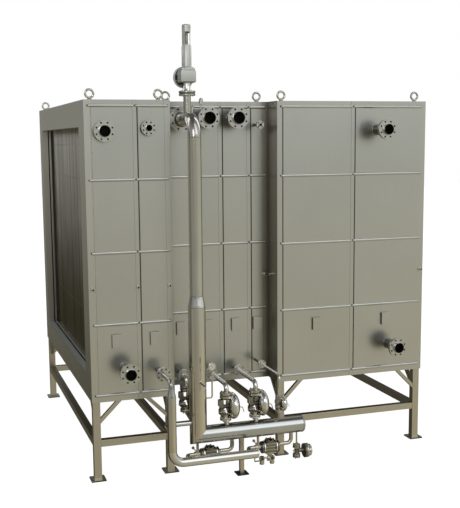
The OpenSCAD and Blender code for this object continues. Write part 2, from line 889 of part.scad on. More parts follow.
// Dial gauge and its cock on a U-shaped siphon that leaves the riser's front
module pressure_gauge() {
  leg_z = siphon_low + siphon_bend;
  color(pipe_grey) {
    // Root tube, out from the riser and bent down
    difference() {
      translate([riser_x, vessel_y, siphon_top]) forward(siphon_out - siphon_bend, siphon_r);
      translate([riser_x, vessel_y, siphon_top - 50]) cylinder(h = 100, r = vessel_r);
    }
    translate([riser_x, siphon_y + siphon_bend, siphon_top]) bend_down(siphon_bend, siphon_r);
    // The U, and the tube up to the gauge
    translate([riser_x, siphon_y, 0]) {
      translate([0, 0, leg_z]) cylinder(h = siphon_top - siphon_bend - leg_z, r = siphon_r);
      translate([siphon_bend, 0, leg_z]) mirror([0, 0, 1]) mirror([1, 0, 0]) siphon_bend();
      translate([siphon_bend, 0, siphon_low]) rotate([0, 90, 0])
        cylinder(h = siphon_pitch - 2 * siphon_bend, r = siphon_r);
      translate([siphon_pitch - siphon_bend, 0, leg_z]) mirror([0, 0, 1]) siphon_bend();
      translate([siphon_pitch, 0, leg_z]) cylinder(h = gauge_z - 40 - leg_z, r = siphon_r);
      // Cock, with its knob towards the front
      translate([siphon_pitch, 20, 1415]) forward(20 + cock_reach, 26);
      translate([siphon_pitch, 18, gauge_z]) forward(40, 50);
    }
  }
}

// ---- Drain traps under the vessel ----

drain_trap_x = 1432;
trap_pitch = 820;
body_z = 322;

// What is left of a pipe once the condensate header's own space is taken out of it
module clear_of_header() {
  difference() {
    children();
    translate([drop_x, header_y, header_z]) rotate([0, 90, 0])
      cylinder(h = header_end - drop_x, r = header_r);
  }
}

// Inline drain trap: body, end flanges, bonnet and sump, with the loop from the vessel on its
// right, the balance tube up on its left and the discharge to the header
module drain_trap(x0) {
  loop_x = 304;
  loop_bend = 60;
  tee_x = -160;
  out_x = 146;
  turn_r = 45;
  color(dark_cast) clear_of_vessel() clear_of_header() translate([x0, vessel_y, body_z]) {
    box([-76, -70, -84], [76, 70, 84]);
    for (s = [-1, 1]) translate([s * 76, 0, 0]) rotate([0, s * 90, 0]) cylinder(h = 44, r = 80);
    translate([0, 0, 84]) cylinder(h = 22, r = 66);
    translate([0, 0, -122]) cylinder(h = 38, r = 44);
    // Loop from the vessel
    translate([120, 0, 20]) rotate([0, 90, 0]) cylinder(h = loop_x - 120 - loop_bend, r = 26);
    translate([loop_x - loop_bend, 0, 20 + loop_bend]) rotate([90, 0, 0]) rotate([0, 0, -90])
      rotate_extrude(angle = 90) translate([loop_bend, 0]) circle(26);
    translate([loop_x, 0, 20 + loop_bend]) cylinder(h = vessel_z - body_z - 20 - loop_bend, r = 26);
    // Tee, balance tube, and the discharge that bends forward into the header
    translate([tee_x, 0, 10]) {
      sphere(44);
      rotate([0, 90, 0]) cylinder(h = 60, r = 26);
      cylinder(h = vessel_z - body_z - 10, r = tube_r);
      translate([turn_r - out_x, 0, 0]) rotate([0, 90, 0]) cylinder(h = out_x - turn_r, r = 24);
      translate([turn_r - out_x, -turn_r, 0]) rotate([0, 0, 90])
        rotate_extrude(angle = 90) translate([turn_r, 0]) circle(24);
      translate([-out_x, -turn_r, 0]) forward(header_out - vessel_out - turn_r, 24);
    }
  }
}

module drain_trap_left() {
  drain_trap(drain_trap_x);
}

module drain_trap_right() {
  drain_trap(drain_trap_x + trap_pitch);
}

drain_x = 2634;

// Float valve at the blind end of the vessel: thin tube, two flanges, arm and round cover
module drain_float_valve() {
  color(dark_cast) clear_of_vessel() translate([drain_x, vessel_y, 0]) {
    translate([0, 0, 310]) cylinder(h = 190, r = 11);
    translate([0, 0, 262]) cylinder(h = 48, r = 50);
    translate([0, 0, 180]) cylinder(h = 82, r = 26);
    translate([0, 0, 132]) cylinder(h = 48, r = 50);
    translate([0, 0, 118]) cylinder(h = 14, r = 14);
    translate([20, 0, 222]) rotate([0, 90, 0]) cylinder(h = 80, r = 30);
    translate([100, 0, 212]) rotate([0, 90, 0]) cylinder(h = 56, r1 = 94, r2 = 88);
    translate([156, 0, 212]) rotate([0, 90, 0]) cylinder(h = 44, r1 = 88, r2 = 76);
  }
}

site() legs_front();
site() legs_back();
site() long_beams();
site() cross_beams();
site() knee_braces();
site() inlet_posts();
site() inlet_rails();
site() outlet_posts();
site() outlet_rails();
site() casing_left();
site() casing_middle();
site() casing_right();
site() inlet_coil();
site() outlet_coil();
site() trim_rods_left();
site() trim_rods_middle();
site() trim_rods_right();
site() inspection_plates();
site() tapping_stubs();
site() lifting_eyes();
site() nozzle_left_upper();
site() nozzle_left_upper_small();
site() nozzle_left_lower();
site() nozzles_mid_upper();
site() nozzle_mid_small();
site() nozzle_right_upper();
site() nozzle_right_lower();
site() steam_elbow();
site() flash_riser();
site() flash_vessel();
site() vessel_end_plate();
site() vessel_support();
site() condensate_drop();
site() condensate_header();
site() cross_pipe();
site() safety_valve_body();
site() safety_valve_bonnet();
site() air_vent();
site() trap_line_1();
site() trap_line_2();
site() trap_line_3();
site() trap_line_small();
site() float_trap_1();
site() float_trap_2();
site() float_trap_3();
site() float_trap_small();
site() pressure_gauge();
site() drain_trap_left();
site() drain_trap_right();
site() drain_float_valve();
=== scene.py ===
# %% [markdown]
# # A steam air heater, dressed for a picture
# The real machine is a plant-room air heater: three sheet-steel casing modules on a frame of
# square tube, with finned coils inside, and steam and condensate pipework along the front.
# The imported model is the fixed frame: it gives every size and place. This lesson gives the
# frame its finishes, adds the small parts, and stands it in a plain white studio.

import json
from math import cos, pi, radians, sin, tan

import bmesh
import bpy
from mathutils import Matrix, Vector


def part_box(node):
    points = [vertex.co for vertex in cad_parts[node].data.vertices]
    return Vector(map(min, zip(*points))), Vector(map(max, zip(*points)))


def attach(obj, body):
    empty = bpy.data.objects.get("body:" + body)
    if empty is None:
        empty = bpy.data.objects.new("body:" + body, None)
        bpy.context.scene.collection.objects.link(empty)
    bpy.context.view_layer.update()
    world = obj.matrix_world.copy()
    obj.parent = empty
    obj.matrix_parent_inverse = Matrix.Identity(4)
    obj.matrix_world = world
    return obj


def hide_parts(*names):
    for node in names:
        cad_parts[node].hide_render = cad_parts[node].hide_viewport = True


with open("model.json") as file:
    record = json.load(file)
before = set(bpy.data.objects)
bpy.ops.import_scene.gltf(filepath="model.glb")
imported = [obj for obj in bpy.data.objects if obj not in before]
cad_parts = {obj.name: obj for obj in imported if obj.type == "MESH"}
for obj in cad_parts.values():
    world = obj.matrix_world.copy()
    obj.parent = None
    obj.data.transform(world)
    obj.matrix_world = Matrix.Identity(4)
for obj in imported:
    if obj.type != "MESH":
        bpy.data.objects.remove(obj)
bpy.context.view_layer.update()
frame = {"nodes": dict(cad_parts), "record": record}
nodes = frame["nodes"]
scene = bpy.context.scene

# %% [markdown]
# ## Where things are
# Plant drawings count millimetres from one corner, and so does this lesson: x to the right, y
# to the back and z up, from the inlet duct frame's front corner on the floor. Typing frame
# coordinates for each piece would work too, but they would drift if the frame ever moved, so
# the corner and each piece's size are read from the frame's own boxes.

# %% Millimetres from the corner
inlet_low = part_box("inlet_posts")[0]
corner = Vector((inlet_low.x, inlet_low.y, 0.0))
to_frame = Matrix.Translation(corner) @ Matrix.Scale(0.001, 4)
to_plant = to_frame.inverted()


def low_of(name):
    return to_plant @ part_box(name)[0]


def high_of(name):
    return to_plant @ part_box(name)[1]


def mid_of(name):
    return (low_of(name) + high_of(name)) / 2


print("corner at", tuple(round(v, 3) for v in corner))
print("casing top", round(high_of("casing_middle").z), "mm")

# %% [markdown]
# ## Small helpers for node trees
# Materials and Geometry Nodes are both node trees. Placing each node by hand takes many lines,
# so one helper adds a node, sets its options and wires or fills its inputs in a single call.

# %% One call per node


def node(tree, kind, inputs=None, **options):
    made = tree.nodes.new(kind)
    for name, value in options.items():
        setattr(made, name, value)
    for key, value in (inputs or {}).items():
        socket = made.inputs[key]
        if isinstance(value, bpy.types.NodeSocket):
            tree.links.new(value, socket)
        else:
            socket.default_value = value
    return made


def calc(tree, operation, a, b=0.0):
    return node(tree, "ShaderNodeMath", {0: a, 1: b}, operation=operation).outputs[0]


def calc_vector(tree, operation, a, b):
    made = node(tree, "ShaderNodeVectorMath", {0: a, 1: b}, operation=operation)
    return made.outputs[1 if operation == "DOT_PRODUCT" else 0]


def noise(tree, place, size, detail):
    return node(tree, "ShaderNodeTexNoise",
                {"Vector": place, "Scale": size, "Detail": detail}).outputs["Fac"]


def swing(tree, value, strength):
    """Noise lies about a half; this moves it about nought and scales it"""
    return calc(tree, "MULTIPLY", calc(tree, "SUBTRACT", value, 0.5), strength)


def step(tree, value, low, high):
    return node(tree, "ShaderNodeMapRange", {"Value": value, "From Min": low, "From Max": high},
                interpolation_type="SMOOTHSTEP").outputs[0]


def grey(value):
    return (value, value, value, 1.0)


def add_sockets(tree, given, made):
    """Inputs by name and start value, whose length tells their kind, and outputs by kind"""
    for name, value in given.items():
        kind = {1: "Float", 3: "Vector", 4: "Color"}[len(value) if isinstance(value, tuple) else 1]
        socket = tree.interface.new_socket(name, in_out="INPUT", socket_type="NodeSocket" + kind)
        socket.default_value = value
    for name, kind in made.items():
        tree.interface.new_socket(name, in_out="OUTPUT", socket_type="NodeSocket" + kind)


print("node helpers ready")

# %% [markdown]
# ## Grain that several metals share
# Rolled sheet, pipe and castings all vary a little: broad clouds from pickling, and fine lines
# from rolling. A picture could hold that, but it would stretch and repeat, so noise in a shader
# group makes it. Each material calls the group with its own colour, scale and strength.

# %% Group: rolled grain


def rolled_grain():
    group = bpy.data.node_groups.new("rolled_grain", "ShaderNodeTree")
    add_sockets(group, {
        "Colour": grey(0.5), "Cloud size": 1.0, "Cloud": 0.1, "Line size": 60.0, "Lines": 0.05,
        "Stretch": (1.0, 1.0, 0.05), "Roughness": 0.4, "Spread": 0.1,
    }, {"Colour": "Color", "Roughness": "Float", "Height": "Float"})
    given = node(group, "NodeGroupInput").outputs
    place = node(group, "ShaderNodeTexCoord").outputs["Object"]
    cloud = noise(group, place, given["Cloud size"], 4.0)
    drawn = calc_vector(group, "MULTIPLY", place, given["Stretch"])
    lines = noise(group, drawn, given["Line size"], 5.0)
    shift = calc(group, "ADD", swing(group, cloud, given["Cloud"]),
                 swing(group, lines, given["Lines"]))
    tinted = calc_vector(group, "MULTIPLY", given["Colour"], calc(group, "ADD", shift, 1.0))
    rough = calc(group, "ADD", given["Roughness"], swing(group, cloud, given["Spread"]))
    node(group, "NodeGroupOutput", {"Colour": tinted, "Roughness": rough, "Height": lines})
    return group


grain_group = rolled_grain()
print("group", grain_group.name, "with", len(grain_group.nodes), "nodes")

# %% [markdown]
# ## Painted shade along one direction
# The recess between two modules, the coils' lower parts, the frame's feet and the tops and
# undersides of some pipes are darker in colour: painted shade, and painted reflections of a
# dark room. The group takes the metal's colour and darkens it between two places along one
# direction, broken up by noise so that the edge isn't ruled.

# %% Group: painted shade


def settled_grime():
    group = bpy.data.node_groups.new("settled_grime", "ShaderNodeTree")
    add_sockets(group, {
        "Colour": grey(0.5), "Direction": (0.0, 0.0, 1.0), "Clean at": 1.0, "Dirty at": 0.0,
        "Tint": (0.4, 0.37, 0.3, 1.0), "Ragged": 0.1,
    }, {"Colour": "Color", "Mask": "Float"})
    given = node(group, "NodeGroupInput").outputs
    place = node(group, "ShaderNodeTexCoord").outputs["Object"]
    along = calc_vector(group, "DOT_PRODUCT", place, given["Direction"])
    shift = swing(group, noise(group, place, 3.0, 5.0), given["Ragged"])
    mask = step(group, calc(group, "ADD", along, shift), given["Clean at"], given["Dirty at"])
    dark = calc_vector(group, "MULTIPLY", given["Colour"], given["Tint"])
    mixed = node(group, "ShaderNodeMix", {"Factor": mask, 6: given["Colour"], 7: dark},
                 data_type="RGBA")
    node(group, "NodeGroupOutput", {"Colour": mixed.outputs[2], "Mask": mask})
    return group


shade_group = settled_grime()
print("group", shade_group.name, "with", len(shade_group.nodes), "nodes")

# %% [markdown]
# ## One recipe for every metal
# Each finish is a Principled shader fed by the grain group, so that they differ in numbers and
# not in wiring. `shade_fades` adds one or more calls of the painted-shade group between the
# grain and the base colour, each described by a `fade`.

# %% A metal finish from the groups


# A fade is painted shade: lit at one place, shaded at another
def fade(lit, shaded, tint, ragged=0.0, way=(0.0, 0.0, 1.0)):
    return {"Direction": way, "Clean at": lit, "Dirty at": shaded, "Tint": (*tint, 1.0),
            "Ragged": ragged}


def metal(name, colour, rough, cloud=(1.0, 0.1), lines=(60.0, 0.05), stretch=(1.0, 1.0, 0.05),
          spread=0.08, metallic=1.0, bump=0.02, depth=0.0005, shade_fades=()):
    """cloud and lines are a noise scale and a strength; stretch squeezes the lines' pattern"""
    made = bpy.data.materials.new(name)
    made.use_nodes = True
    tree = made.node_tree
    shader = tree.nodes["Principled BSDF"]
    grain = node(tree, "ShaderNodeGroup", {
        "Colour": (*colour, 1.0), "Cloud size": cloud[0], "Cloud": cloud[1],
        "Line size": lines[0], "Lines": lines[1], "Stretch": stretch, "Roughness": rough,
        "Spread": spread}, node_tree=grain_group).outputs
    relief = node(tree, "ShaderNodeBump", {"Strength": bump, "Distance": depth,
                                           "Height": grain["Height"]})
    shade = grain["Colour"]
    for call in shade_fades:
        shade = node(tree, "ShaderNodeGroup", {"Colour": shade, **call},
                     node_tree=shade_group).outputs["Colour"]
    tree.links.new(shade, shader.inputs["Base Color"])
    tree.links.new(grain["Roughness"], shader.inputs["Roughness"])
    tree.links.new(relief.outputs["Normal"], shader.inputs["Normal"])
    shader.inputs["Metallic"].default_value = metallic
    return made


print("metal recipe ready")

# %% [markdown]
# ## Finishes of sheet and tube
# The casing is bare stainless sheet, the frame brushed tube and the trim rods drawn bar. They
# share the recipe; the recess between two modules and the frame's feet add painted shade. Plain
# colours would look like plastic, because sheet is told by how its shine wavers.

# %% Sheet, tube and seals
even, along_x, bent, upright = (1.0, 1.0, 1.0), (0.05, 1.0, 1.0), (1.0, 0.03, 0.03), (1.0, 1.0, 0.01)
sheet_colour = (0.60, 0.605, 0.58)
casing_sheet = metal("casing_sheet", sheet_colour, 0.30)
# Painted shade: the middle casing darkens towards its right end, in the recess
recess_sheet = metal("recess_sheet", sheet_colour, 0.30, shade_fades=(
    fade(0.05, 0.20, (0.34, 0.33, 0.29), 0.03, (1.0, 0.0, 0.0)),))
# Painted shade: the right casing's left face, inside the recess, is darker
corner_sheet = metal("corner_sheet", sheet_colour, 0.30, shade_fades=(
    fade(0.184, 0.181, (0.44, 0.41, 0.36), 0.0, (1.0, 0.0, 0.0)),))
duct_sheet = metal("duct_sheet", (0.60, 0.60, 0.56), 0.34)
# Painted shade: the frame tube is near black below 16 mm, on the base plates
frame_tube = metal("frame_tube", (0.57, 0.54, 0.455), 0.36, cloud=(2.0, 0.16), lines=(90.0, 0.06),
                   shade_fades=(fade(0.0172, 0.0155, (0.08, 0.078, 0.07)),))
# Painted shade: a dark copy of the tube for upward faces, which mirror a dark ceiling
frame_top = metal("frame_top", (0.17, 0.15, 0.10), 0.36, cloud=(2.0, 0.2), lines=(90.0, 0.06))
trim_rod = metal("trim_rod", (0.60, 0.61, 0.59), 0.34, lines=(30.0, 0.04), stretch=along_x, bump=0.0)
# Painted light: a pale bluish grey for the duct sills, as lit from above
sill_paint = metal("sill_paint", (0.40, 0.42, 0.41), 0.45, cloud=(2.0, 0.12), metallic=0.0)
# Painted highlight: a lighter copy of the sheet for the lip beside each joint
fold_edge = metal("fold_edge", (0.64, 0.645, 0.62), 0.28)
faint_seal = metal("faint_seal", (0.44, 0.42, 0.36), 0.45, cloud=(4.0, 0.1), metallic=0.6)
dark_seal = metal("dark_seal", (0.030, 0.027, 0.020), 0.6, cloud=(4.0, 0.3), metallic=0.0)
# Painted shade: near black with little shine, for bores, holes and gaps in deep shade
dark_throat = metal("dark_throat", (0.006, 0.006, 0.005), 0.8, metallic=0.0)
for quiet in (dark_seal, dark_throat):
    quiet.node_tree.nodes["Principled BSDF"].inputs["Specular IOR Level"].default_value = 0.1
print(len(bpy.data.materials), "finishes")

# %% [markdown]
# ## Finishes of pipes and fittings
# The pipes are polished stainless and the fittings castings, from nearly black to bright. The
# castings get stronger relief, and the pipes a grain that runs along them. Painted reflections
# darken the undersides of the vessel, the header and the cross pipe, as they would mirror a
# dark floor, and the tops of the vessel and the cross pipe.

# %% Pipes
pipe_metal = metal("pipe_metal", (0.60, 0.585, 0.52), 0.20, cloud=(3.0, 0.14))
drop_metal = metal("drop_metal", (0.62, 0.58, 0.49), 0.22, cloud=(3.0, 0.14))
# Painted reflection: fades darken the cross pipe's top and its underside
cross_metal = metal("cross_metal", (0.76, 0.78, 0.79), 0.16, stretch=along_x, shade_fades=(
    fade(0.770, 0.782, (0.22, 0.21, 0.19)), fade(0.752, 0.738, (0.56, 0.50, 0.40))))
riser_metal = metal("riser_metal", (0.655, 0.622, 0.535), 0.18, cloud=(3.0, 0.10),
                    lines=(16.0, 0.8), stretch=upright, bump=0.0)
elbow_metal = metal("elbow_metal", (0.57, 0.56, 0.53), 0.20, lines=(20.0, 1.4), stretch=bent,
                    bump=0.0)
# Partly painted highlight: a brighter, streaky copy of the pipe steel for bends and trap lines
streak_metal = metal("streak_metal", (0.70, 0.695, 0.67), 0.19, lines=(20.0, 2.2), stretch=bent,
                     bump=0.0)
# Painted reflection: fades darken the vessel's underside and its top
vessel_metal = metal("vessel_metal", (0.56, 0.58, 0.585), 0.17, cloud=(3.0, 0.14),
                     stretch=along_x, shade_fades=(fade(0.506, 0.488, (0.22, 0.20, 0.15)),
                                             fade(0.650, 0.685, (0.55, 0.52, 0.48))))
# Painted reflection: a fade darkens the header's underside
header_metal = metal("header_metal", (0.74, 0.74, 0.71), 0.19, cloud=(3.0, 0.14),
                     stretch=along_x, shade_fades=(fade(0.318, 0.308, (0.22, 0.20, 0.15)),))
# Painted shade: a dark copy of the flange steel for the nozzle flanges' edges
rim_metal = metal("rim_metal", (0.30, 0.29, 0.265), 0.34, cloud=(6.0, 0.1), stretch=even)
face_metal = metal("face_metal", (0.60, 0.61, 0.58), 0.30, cloud=(6.0, 0.1), stretch=even)
# Painted shade: a near-black copy of the pipe steel for necks, gaps, notches and edges in shade
neck_metal = metal("neck_metal", (0.10, 0.096, 0.085), 0.36, cloud=(4.0, 0.2))
# Painted highlight: a bright copy of the steel for cones, ribs and flanges that catch light
bright_metal = metal("bright_metal", (0.84, 0.84, 0.82), 0.22, cloud=(6.0, 0.08), stretch=even)

# %% Castings, bolts and welds
valve_metal = metal("valve_metal", (0.585, 0.605, 0.59), 0.5, cloud=(6.0, 0.12), stretch=even)
bonnet_metal = metal("bonnet_metal", (0.66, 0.66, 0.64), 0.46, lines=(26.0, 0.9), stretch=upright)
black_polish = metal("black_polish", (0.22, 0.215, 0.20), 0.12, cloud=(12.0, 0.3), stretch=even)
cast_metal = metal("cast_metal", (0.26, 0.245, 0.20), 0.34, cloud=(9.0, 0.3), lines=(260.0, 0.25),
                   stretch=even, bump=0.25, depth=0.0015, spread=0.2)
cover_metal = metal("cover_metal", (0.52, 0.50, 0.44), 0.24, cloud=(8.0, 0.2), lines=(220.0, 0.1),
                    stretch=even, bump=0.1, depth=0.001)
rib_metal = metal("rib_metal", (0.62, 0.60, 0.53), 0.22, cloud=(10.0, 0.3), lines=(120.0, 0.2),
                  stretch=even, bump=0.1, depth=0.001)
# Painted shade: a fade darkens the float chambers' lower parts
dome_metal = metal("dome_metal", (0.84, 0.84, 0.82), 0.13, cloud=(14.0, 0.06), lines=(40.0, 0.03),
                   stretch=even, bump=0.01, spread=0.04,
                   shade_fades=(fade(0.90, 0.84, (0.66, 0.62, 0.53)),))
bolt_metal = metal("bolt_metal", (0.36, 0.34, 0.30), 0.32, cloud=(20.0, 0.3), stretch=even)
weld_metal = metal("weld_metal", (0.34, 0.32, 0.27), 0.40, cloud=(40.0, 0.4), stretch=even,
                   bump=0.2, depth=0.001)
print(len(bpy.data.materials), "finishes")

# %% [markdown]
# ## Fins
# The coils' tubes are wound with thin fins. Real fins would be a million faces, and from any
# distance they only scatter light, so a shader group turns height into rings for the bump, and
# streaky noise along the row stands for bent fins and dust.

# %% Group: fin rings


def fin_rings():
    group = bpy.data.node_groups.new("fin_rings", "ShaderNodeTree")
    add_sockets(group, {"Pitch": 0.004}, {"Height": "Float"})
    pitch = node(group, "NodeGroupInput").outputs["Pitch"]
    place = node(group, "ShaderNodeTexCoord").outputs["Object"]
    up = node(group, "ShaderNodeSeparateXYZ", {0: place}).outputs["Z"]
    turns = calc(group, "MULTIPLY", calc(group, "DIVIDE", up, pitch), 2 * pi)
    node(group, "NodeGroupOutput", {"Height": calc(group, "SINE", turns)})
    return group


def finned(name, colour, rough):
    # Painted shade: the fade darkens the coils towards the bottom
    made = metal(name, colour, rough, cloud=(1.2, 0.3), lines=(13.0, 1.7), stretch=(1.0, 1.0, 0.02),
                 shade_fades=(fade(4.7, 1.6, (0.20, 0.175, 0.115), 0.6),))
    tree = made.node_tree
    rings = node(tree, "ShaderNodeGroup", node_tree=ring_group).outputs["Height"]
    both = node(tree, "ShaderNodeBump", {"Strength": 0.5, "Distance": 0.0006, "Height": rings,
                                         "Normal": tree.nodes["Bump"].outputs["Normal"]})
    tree.links.new(both.outputs["Normal"], tree.nodes["Principled BSDF"].inputs["Normal"])
    return made


ring_group = fin_rings()
fin_metal = finned("fin_metal", (0.62, 0.61, 0.57), 0.42)
# Painted shade: the coil's core is near black, for the shade deep inside the fin pack
dark_core = metal("dark_core", (0.05, 0.048, 0.04), 0.6)
fin_strap = metal("fin_strap", (0.30, 0.30, 0.28), 0.4)
print("group", ring_group.name)

# %% [markdown]
# ## A bench for drawing pieces
# Most fittings are turned on a lathe, bent from tube or cut from plate. Blender's primitives
# would do for some, but one small kit draws them all the same way: `lathe` turns a profile of
# (radius, height) round an axis, `tube` sweeps a circle along a path, and `block` is a plate
# with its edges broken. Everything is drawn in plant millimetres.

# %% Turned shapes
to_right, to_left, to_front, to_back = (1, 0, 0), (-1, 0, 0), (0, -1, 0), (0, 1, 0)


def across(axis):
    """Two directions at right angles to the axis, and the axis itself"""
    along = Vector(axis).normalized()
    side = Vector((0, 0, 1)) if abs(along.z) < 0.9 else Vector((0, -1, 0))
    side = (side - along * side.dot(along)).normalized()
    return side, along.cross(side), along


def join_rings(bm, low, high, finish):
    sides = max(len(low), len(high))
    for i in range(sides):
        j = (i + 1) % sides
        corners = [low[i % len(low)], low[j % len(low)], high[j % len(high)], high[i % len(high)]]
        corners = list(dict.fromkeys(corners))
        if len(corners) > 2:
            bm.faces.new(corners).material_index = finish


def lathe(bm, profile, foot, axis=(0, 0, 1), sides=36, finish=0, loop=False):
    side, other, along = across(axis)
    rings = []
    for radius, height in profile:
        centre = Vector(foot) + along * height
        count = sides if radius > 0 else 1
        turns = [2 * pi * (i + 0.5) / count for i in range(count)]
        rings.append([bm.verts.new(centre + radius * (cos(t) * side + sin(t) * other))
                      for t in turns])
    pairs = list(zip(rings, rings[1:])) + ([(rings[-1], rings[0])] if loop else [])
    for low, high in pairs:
        join_rings(bm, low, high, finish)


def turner(bm, foot):
    """A lathe whose places are counted from one fitting's foot"""
    def turned(profile, finish=0, sides=36, shift=(0, 0, 0), axis=(0, 0, 1)):
        lathe(bm, profile, Vector(foot) + Vector(shift), axis, sides, finish)
    return turned


def drum(radius, start, end):
    """Profile of a plain solid disc or rod"""
    return [(0, start), (radius, start), (radius, end), (0, end)]


def disc(radius, start, end, edge=2.0):
    """Profile of a solid disc with broken edges"""
    return [(0, start), (radius - edge, start), (radius, start + edge), (radius, end - edge),
            (radius - edge, end), (0, end)]


# %% Bent shapes


def rounded(points, bend, steps=8):
    """The path through the points with its corners rounded to a radius"""
    points = [Vector(p) for p in points]
    path = [points[0]]
    for before, here, after in zip(points, points[1:], points[2:]):
        back, on = (before - here).normalized(), (after - here).normalized()
        turn = pi - back.angle(on)
        centre = here + (back + on).normalized() * bend / cos(turn / 2)
        start = here + back * bend * tan(turn / 2) - centre
        end = here + on * bend * tan(turn / 2) - centre
        axle = start.cross(end)
        path += [centre + Matrix.Rotation(turn * k / steps, 3, axle) @ start
                 for k in range(steps + 1)]
    return path + [points[-1]]


def tube(bm, path, radius, sides=20, finish=0):
    path = [Vector(p) for p in path]
    ways = [(b - a).normalized() for a, b in zip(path, path[1:])]
    ways = ways[:1] + [(a + b).normalized() for a, b in zip(ways, ways[1:])] + ways[-1:]
    side = across(ways[0])[0]
    rings = []
    for place, way in zip(path, ways):
        side = (side - way * side.dot(way)).normalized()
        other = way.cross(side)
        rings.append([bm.verts.new(place + radius * (cos(t) * side + sin(t) * other))
                      for t in (2 * pi * i / sides for i in range(sides))])
    for low, high in zip(rings, rings[1:]):
        join_rings(bm, low, high, finish)
    for end in (rings[0], rings[-1]):
        bm.faces.new(end).material_index = finish


# %% Plates and blocks


def block(bm, low, high, edge=3.0, finish=0, turn=None):
    corners = [Vector((x, y, z)) for z in (low[2], high[2]) for y in (low[1], high[1])
               for x in (low[0], high[0])]
    verts = [bm.verts.new(c) for c in corners]
    sides = [(0, 2, 3, 1), (4, 5, 7, 6), (0, 1, 5, 4), (2, 6, 7, 3), (0, 4, 6, 2), (1, 3, 7, 5)]
    faces = [bm.faces.new([verts[i] for i in side]) for side in sides]
    for face in faces:
        face.material_index = finish
    edges = list({e for face in faces for e in face.edges})
    made = bmesh.ops.bevel(bm, geom=edges, offset=edge, segments=2, profile=0.6, affect="EDGES")
    if turn:
        kept = {v for face in faces + made["faces"] if face.is_valid for v in face.verts}
        bmesh.ops.transform(bm, matrix=turn, verts=list(kept))


print("bench ready")

# %% [markdown]
# ## From bench to machine
# The frame's nodes are loose triangles, which shade as facets. `like_node` copies a node onto
# the bench and joins its triangles, so a pipe can shade smooth while its size stays exact.
# `make_piece` sets what was drawn in the frame, turns its faces outwards, keeps sharp edges
# sharp, and hides the nodes that the piece replaces.

# %% Copying a node and making a piece


def like_node(bm, name):
    old = set(bm.verts)
    bm.from_mesh(nodes[name].data)
    fresh = [v for v in bm.verts if v not in old]
    bmesh.ops.transform(bm, matrix=to_plant, verts=fresh)
    bmesh.ops.remove_doubles(bm, verts=fresh, dist=0.02)
    return {f for v in bm.verts if v not in old for f in v.link_faces}


def to_mesh(bm, name, finishes):
    mesh = bpy.data.meshes.new(name)
    bm.to_mesh(mesh)
    bm.free()
    # A copied node brings fixed normals, which would keep it faceted
    if "custom_normal" in mesh.attributes:
        mesh.attributes.remove(mesh.attributes["custom_normal"])
    for finish in finishes:
        mesh.materials.append(finish)
    return mesh


def smooth(mesh, sharp):
    """Smooth shading that stops at edges over `sharp` degrees"""
    mesh.shade_smooth()
    mesh.set_sharp_from_angle(angle=radians(sharp))


def in_scene(name, content):
    held = bpy.data.objects.new(name, content)
    scene.collection.objects.link(held)
    return held


def add_object(name, mesh, replaced=()):
    piece = in_scene(name, mesh)
    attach(piece, "root")
    if replaced:
        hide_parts(*replaced)
    print(name, len(mesh.polygons), "faces")


def make_piece(name, bm, finishes, replaced=(), sharp=32):
    bmesh.ops.transform(bm, matrix=to_frame, verts=bm.verts)
    bmesh.ops.recalc_face_normals(bm, faces=bm.faces)
    mesh = to_mesh(bm, name, finishes)
    smooth(mesh, sharp)
    add_object(name, mesh, replaced)


def redrawn(name, finishes, rules=None, sharp=32, ending="_drawn"):
    """A smooth copy of a node; a rule gives its finish to faces whose middles pass its test"""
    bm = bmesh.new()
    faces = like_node(bm, name)
    for face in faces:
        face.material_index = 0
    for finish, inside in (rules or {}).items():
        for face in faces:
            if inside(face.calc_center_median()):
                face.material_index = finish
    make_piece(name + ending, bm, finishes, (name,), sharp)


def baked(held, name, sharp):
    """The object's mesh with its modifier carried out; the object itself goes"""
    depsgraph = bpy.context.evaluated_depsgraph_get()
    mesh = bpy.data.meshes.new_from_object(held.evaluated_get(depsgraph))
    bpy.data.objects.remove(held)
    mesh.name = name
    smooth(mesh, sharp)
    return mesh


# %% [markdown]
# ## Fasteners, welds and open holes
# The flanges carry dozens of studs and nuts, and each pipe joint has a weld. Modelling one and
# copying it by hand would be slow to change, so Geometry Nodes do it: a tree puts a nut on each
# point that carries its aim and size, and another rolls a rippled bead along each loop of
# edges. The result is baked to plain mesh before it joins the scene.

# %% What every tree starts and ends with


def flow(name, given):
    tree = bpy.data.node_groups.new(name, "GeometryNodeTree")
    tree.interface.new_socket("Geometry", in_out="INPUT", socket_type="NodeSocketGeometry")
    add_sockets(tree, given, {"Geometry": "Geometry"})
    return tree, node(tree, "NodeGroupInput").outputs


def deliver(tree, geometry):
    whole = node(tree, "GeometryNodeRealizeInstances", {"Geometry": geometry}).outputs[0]
    entry = tree.interface.new_socket("Finish", in_out="INPUT", socket_type="NodeSocketMaterial")
    finish = node(tree, "NodeGroupInput").outputs["Finish"]
    done = node(tree, "GeometryNodeSetMaterial", {"Geometry": whole, "Material": finish})
    node(tree, "NodeGroupOutput", {0: done.outputs[0]})
    return tree, entry


def grown(name, host, flow_made, finish, settings=None, replaced=()):
    """Runs a Geometry Nodes tree on a host mesh and bakes it to a plain piece"""
    tree, entry = flow_made
    held = in_scene(name, host)
    change = held.modifiers.new("grow", "NODES")
    change.node_group = tree
    change[entry.identifier] = finish
    names = {item.name: item.identifier for item in tree.interface.items_tree
             if item.item_type == "SOCKET" and item.in_out == "INPUT"}
    for key, value in (settings or {}).items():
        change[names[key]] = value
    add_object(name, baked(held, name, 36), replaced)


# %% Tree: studs and nuts


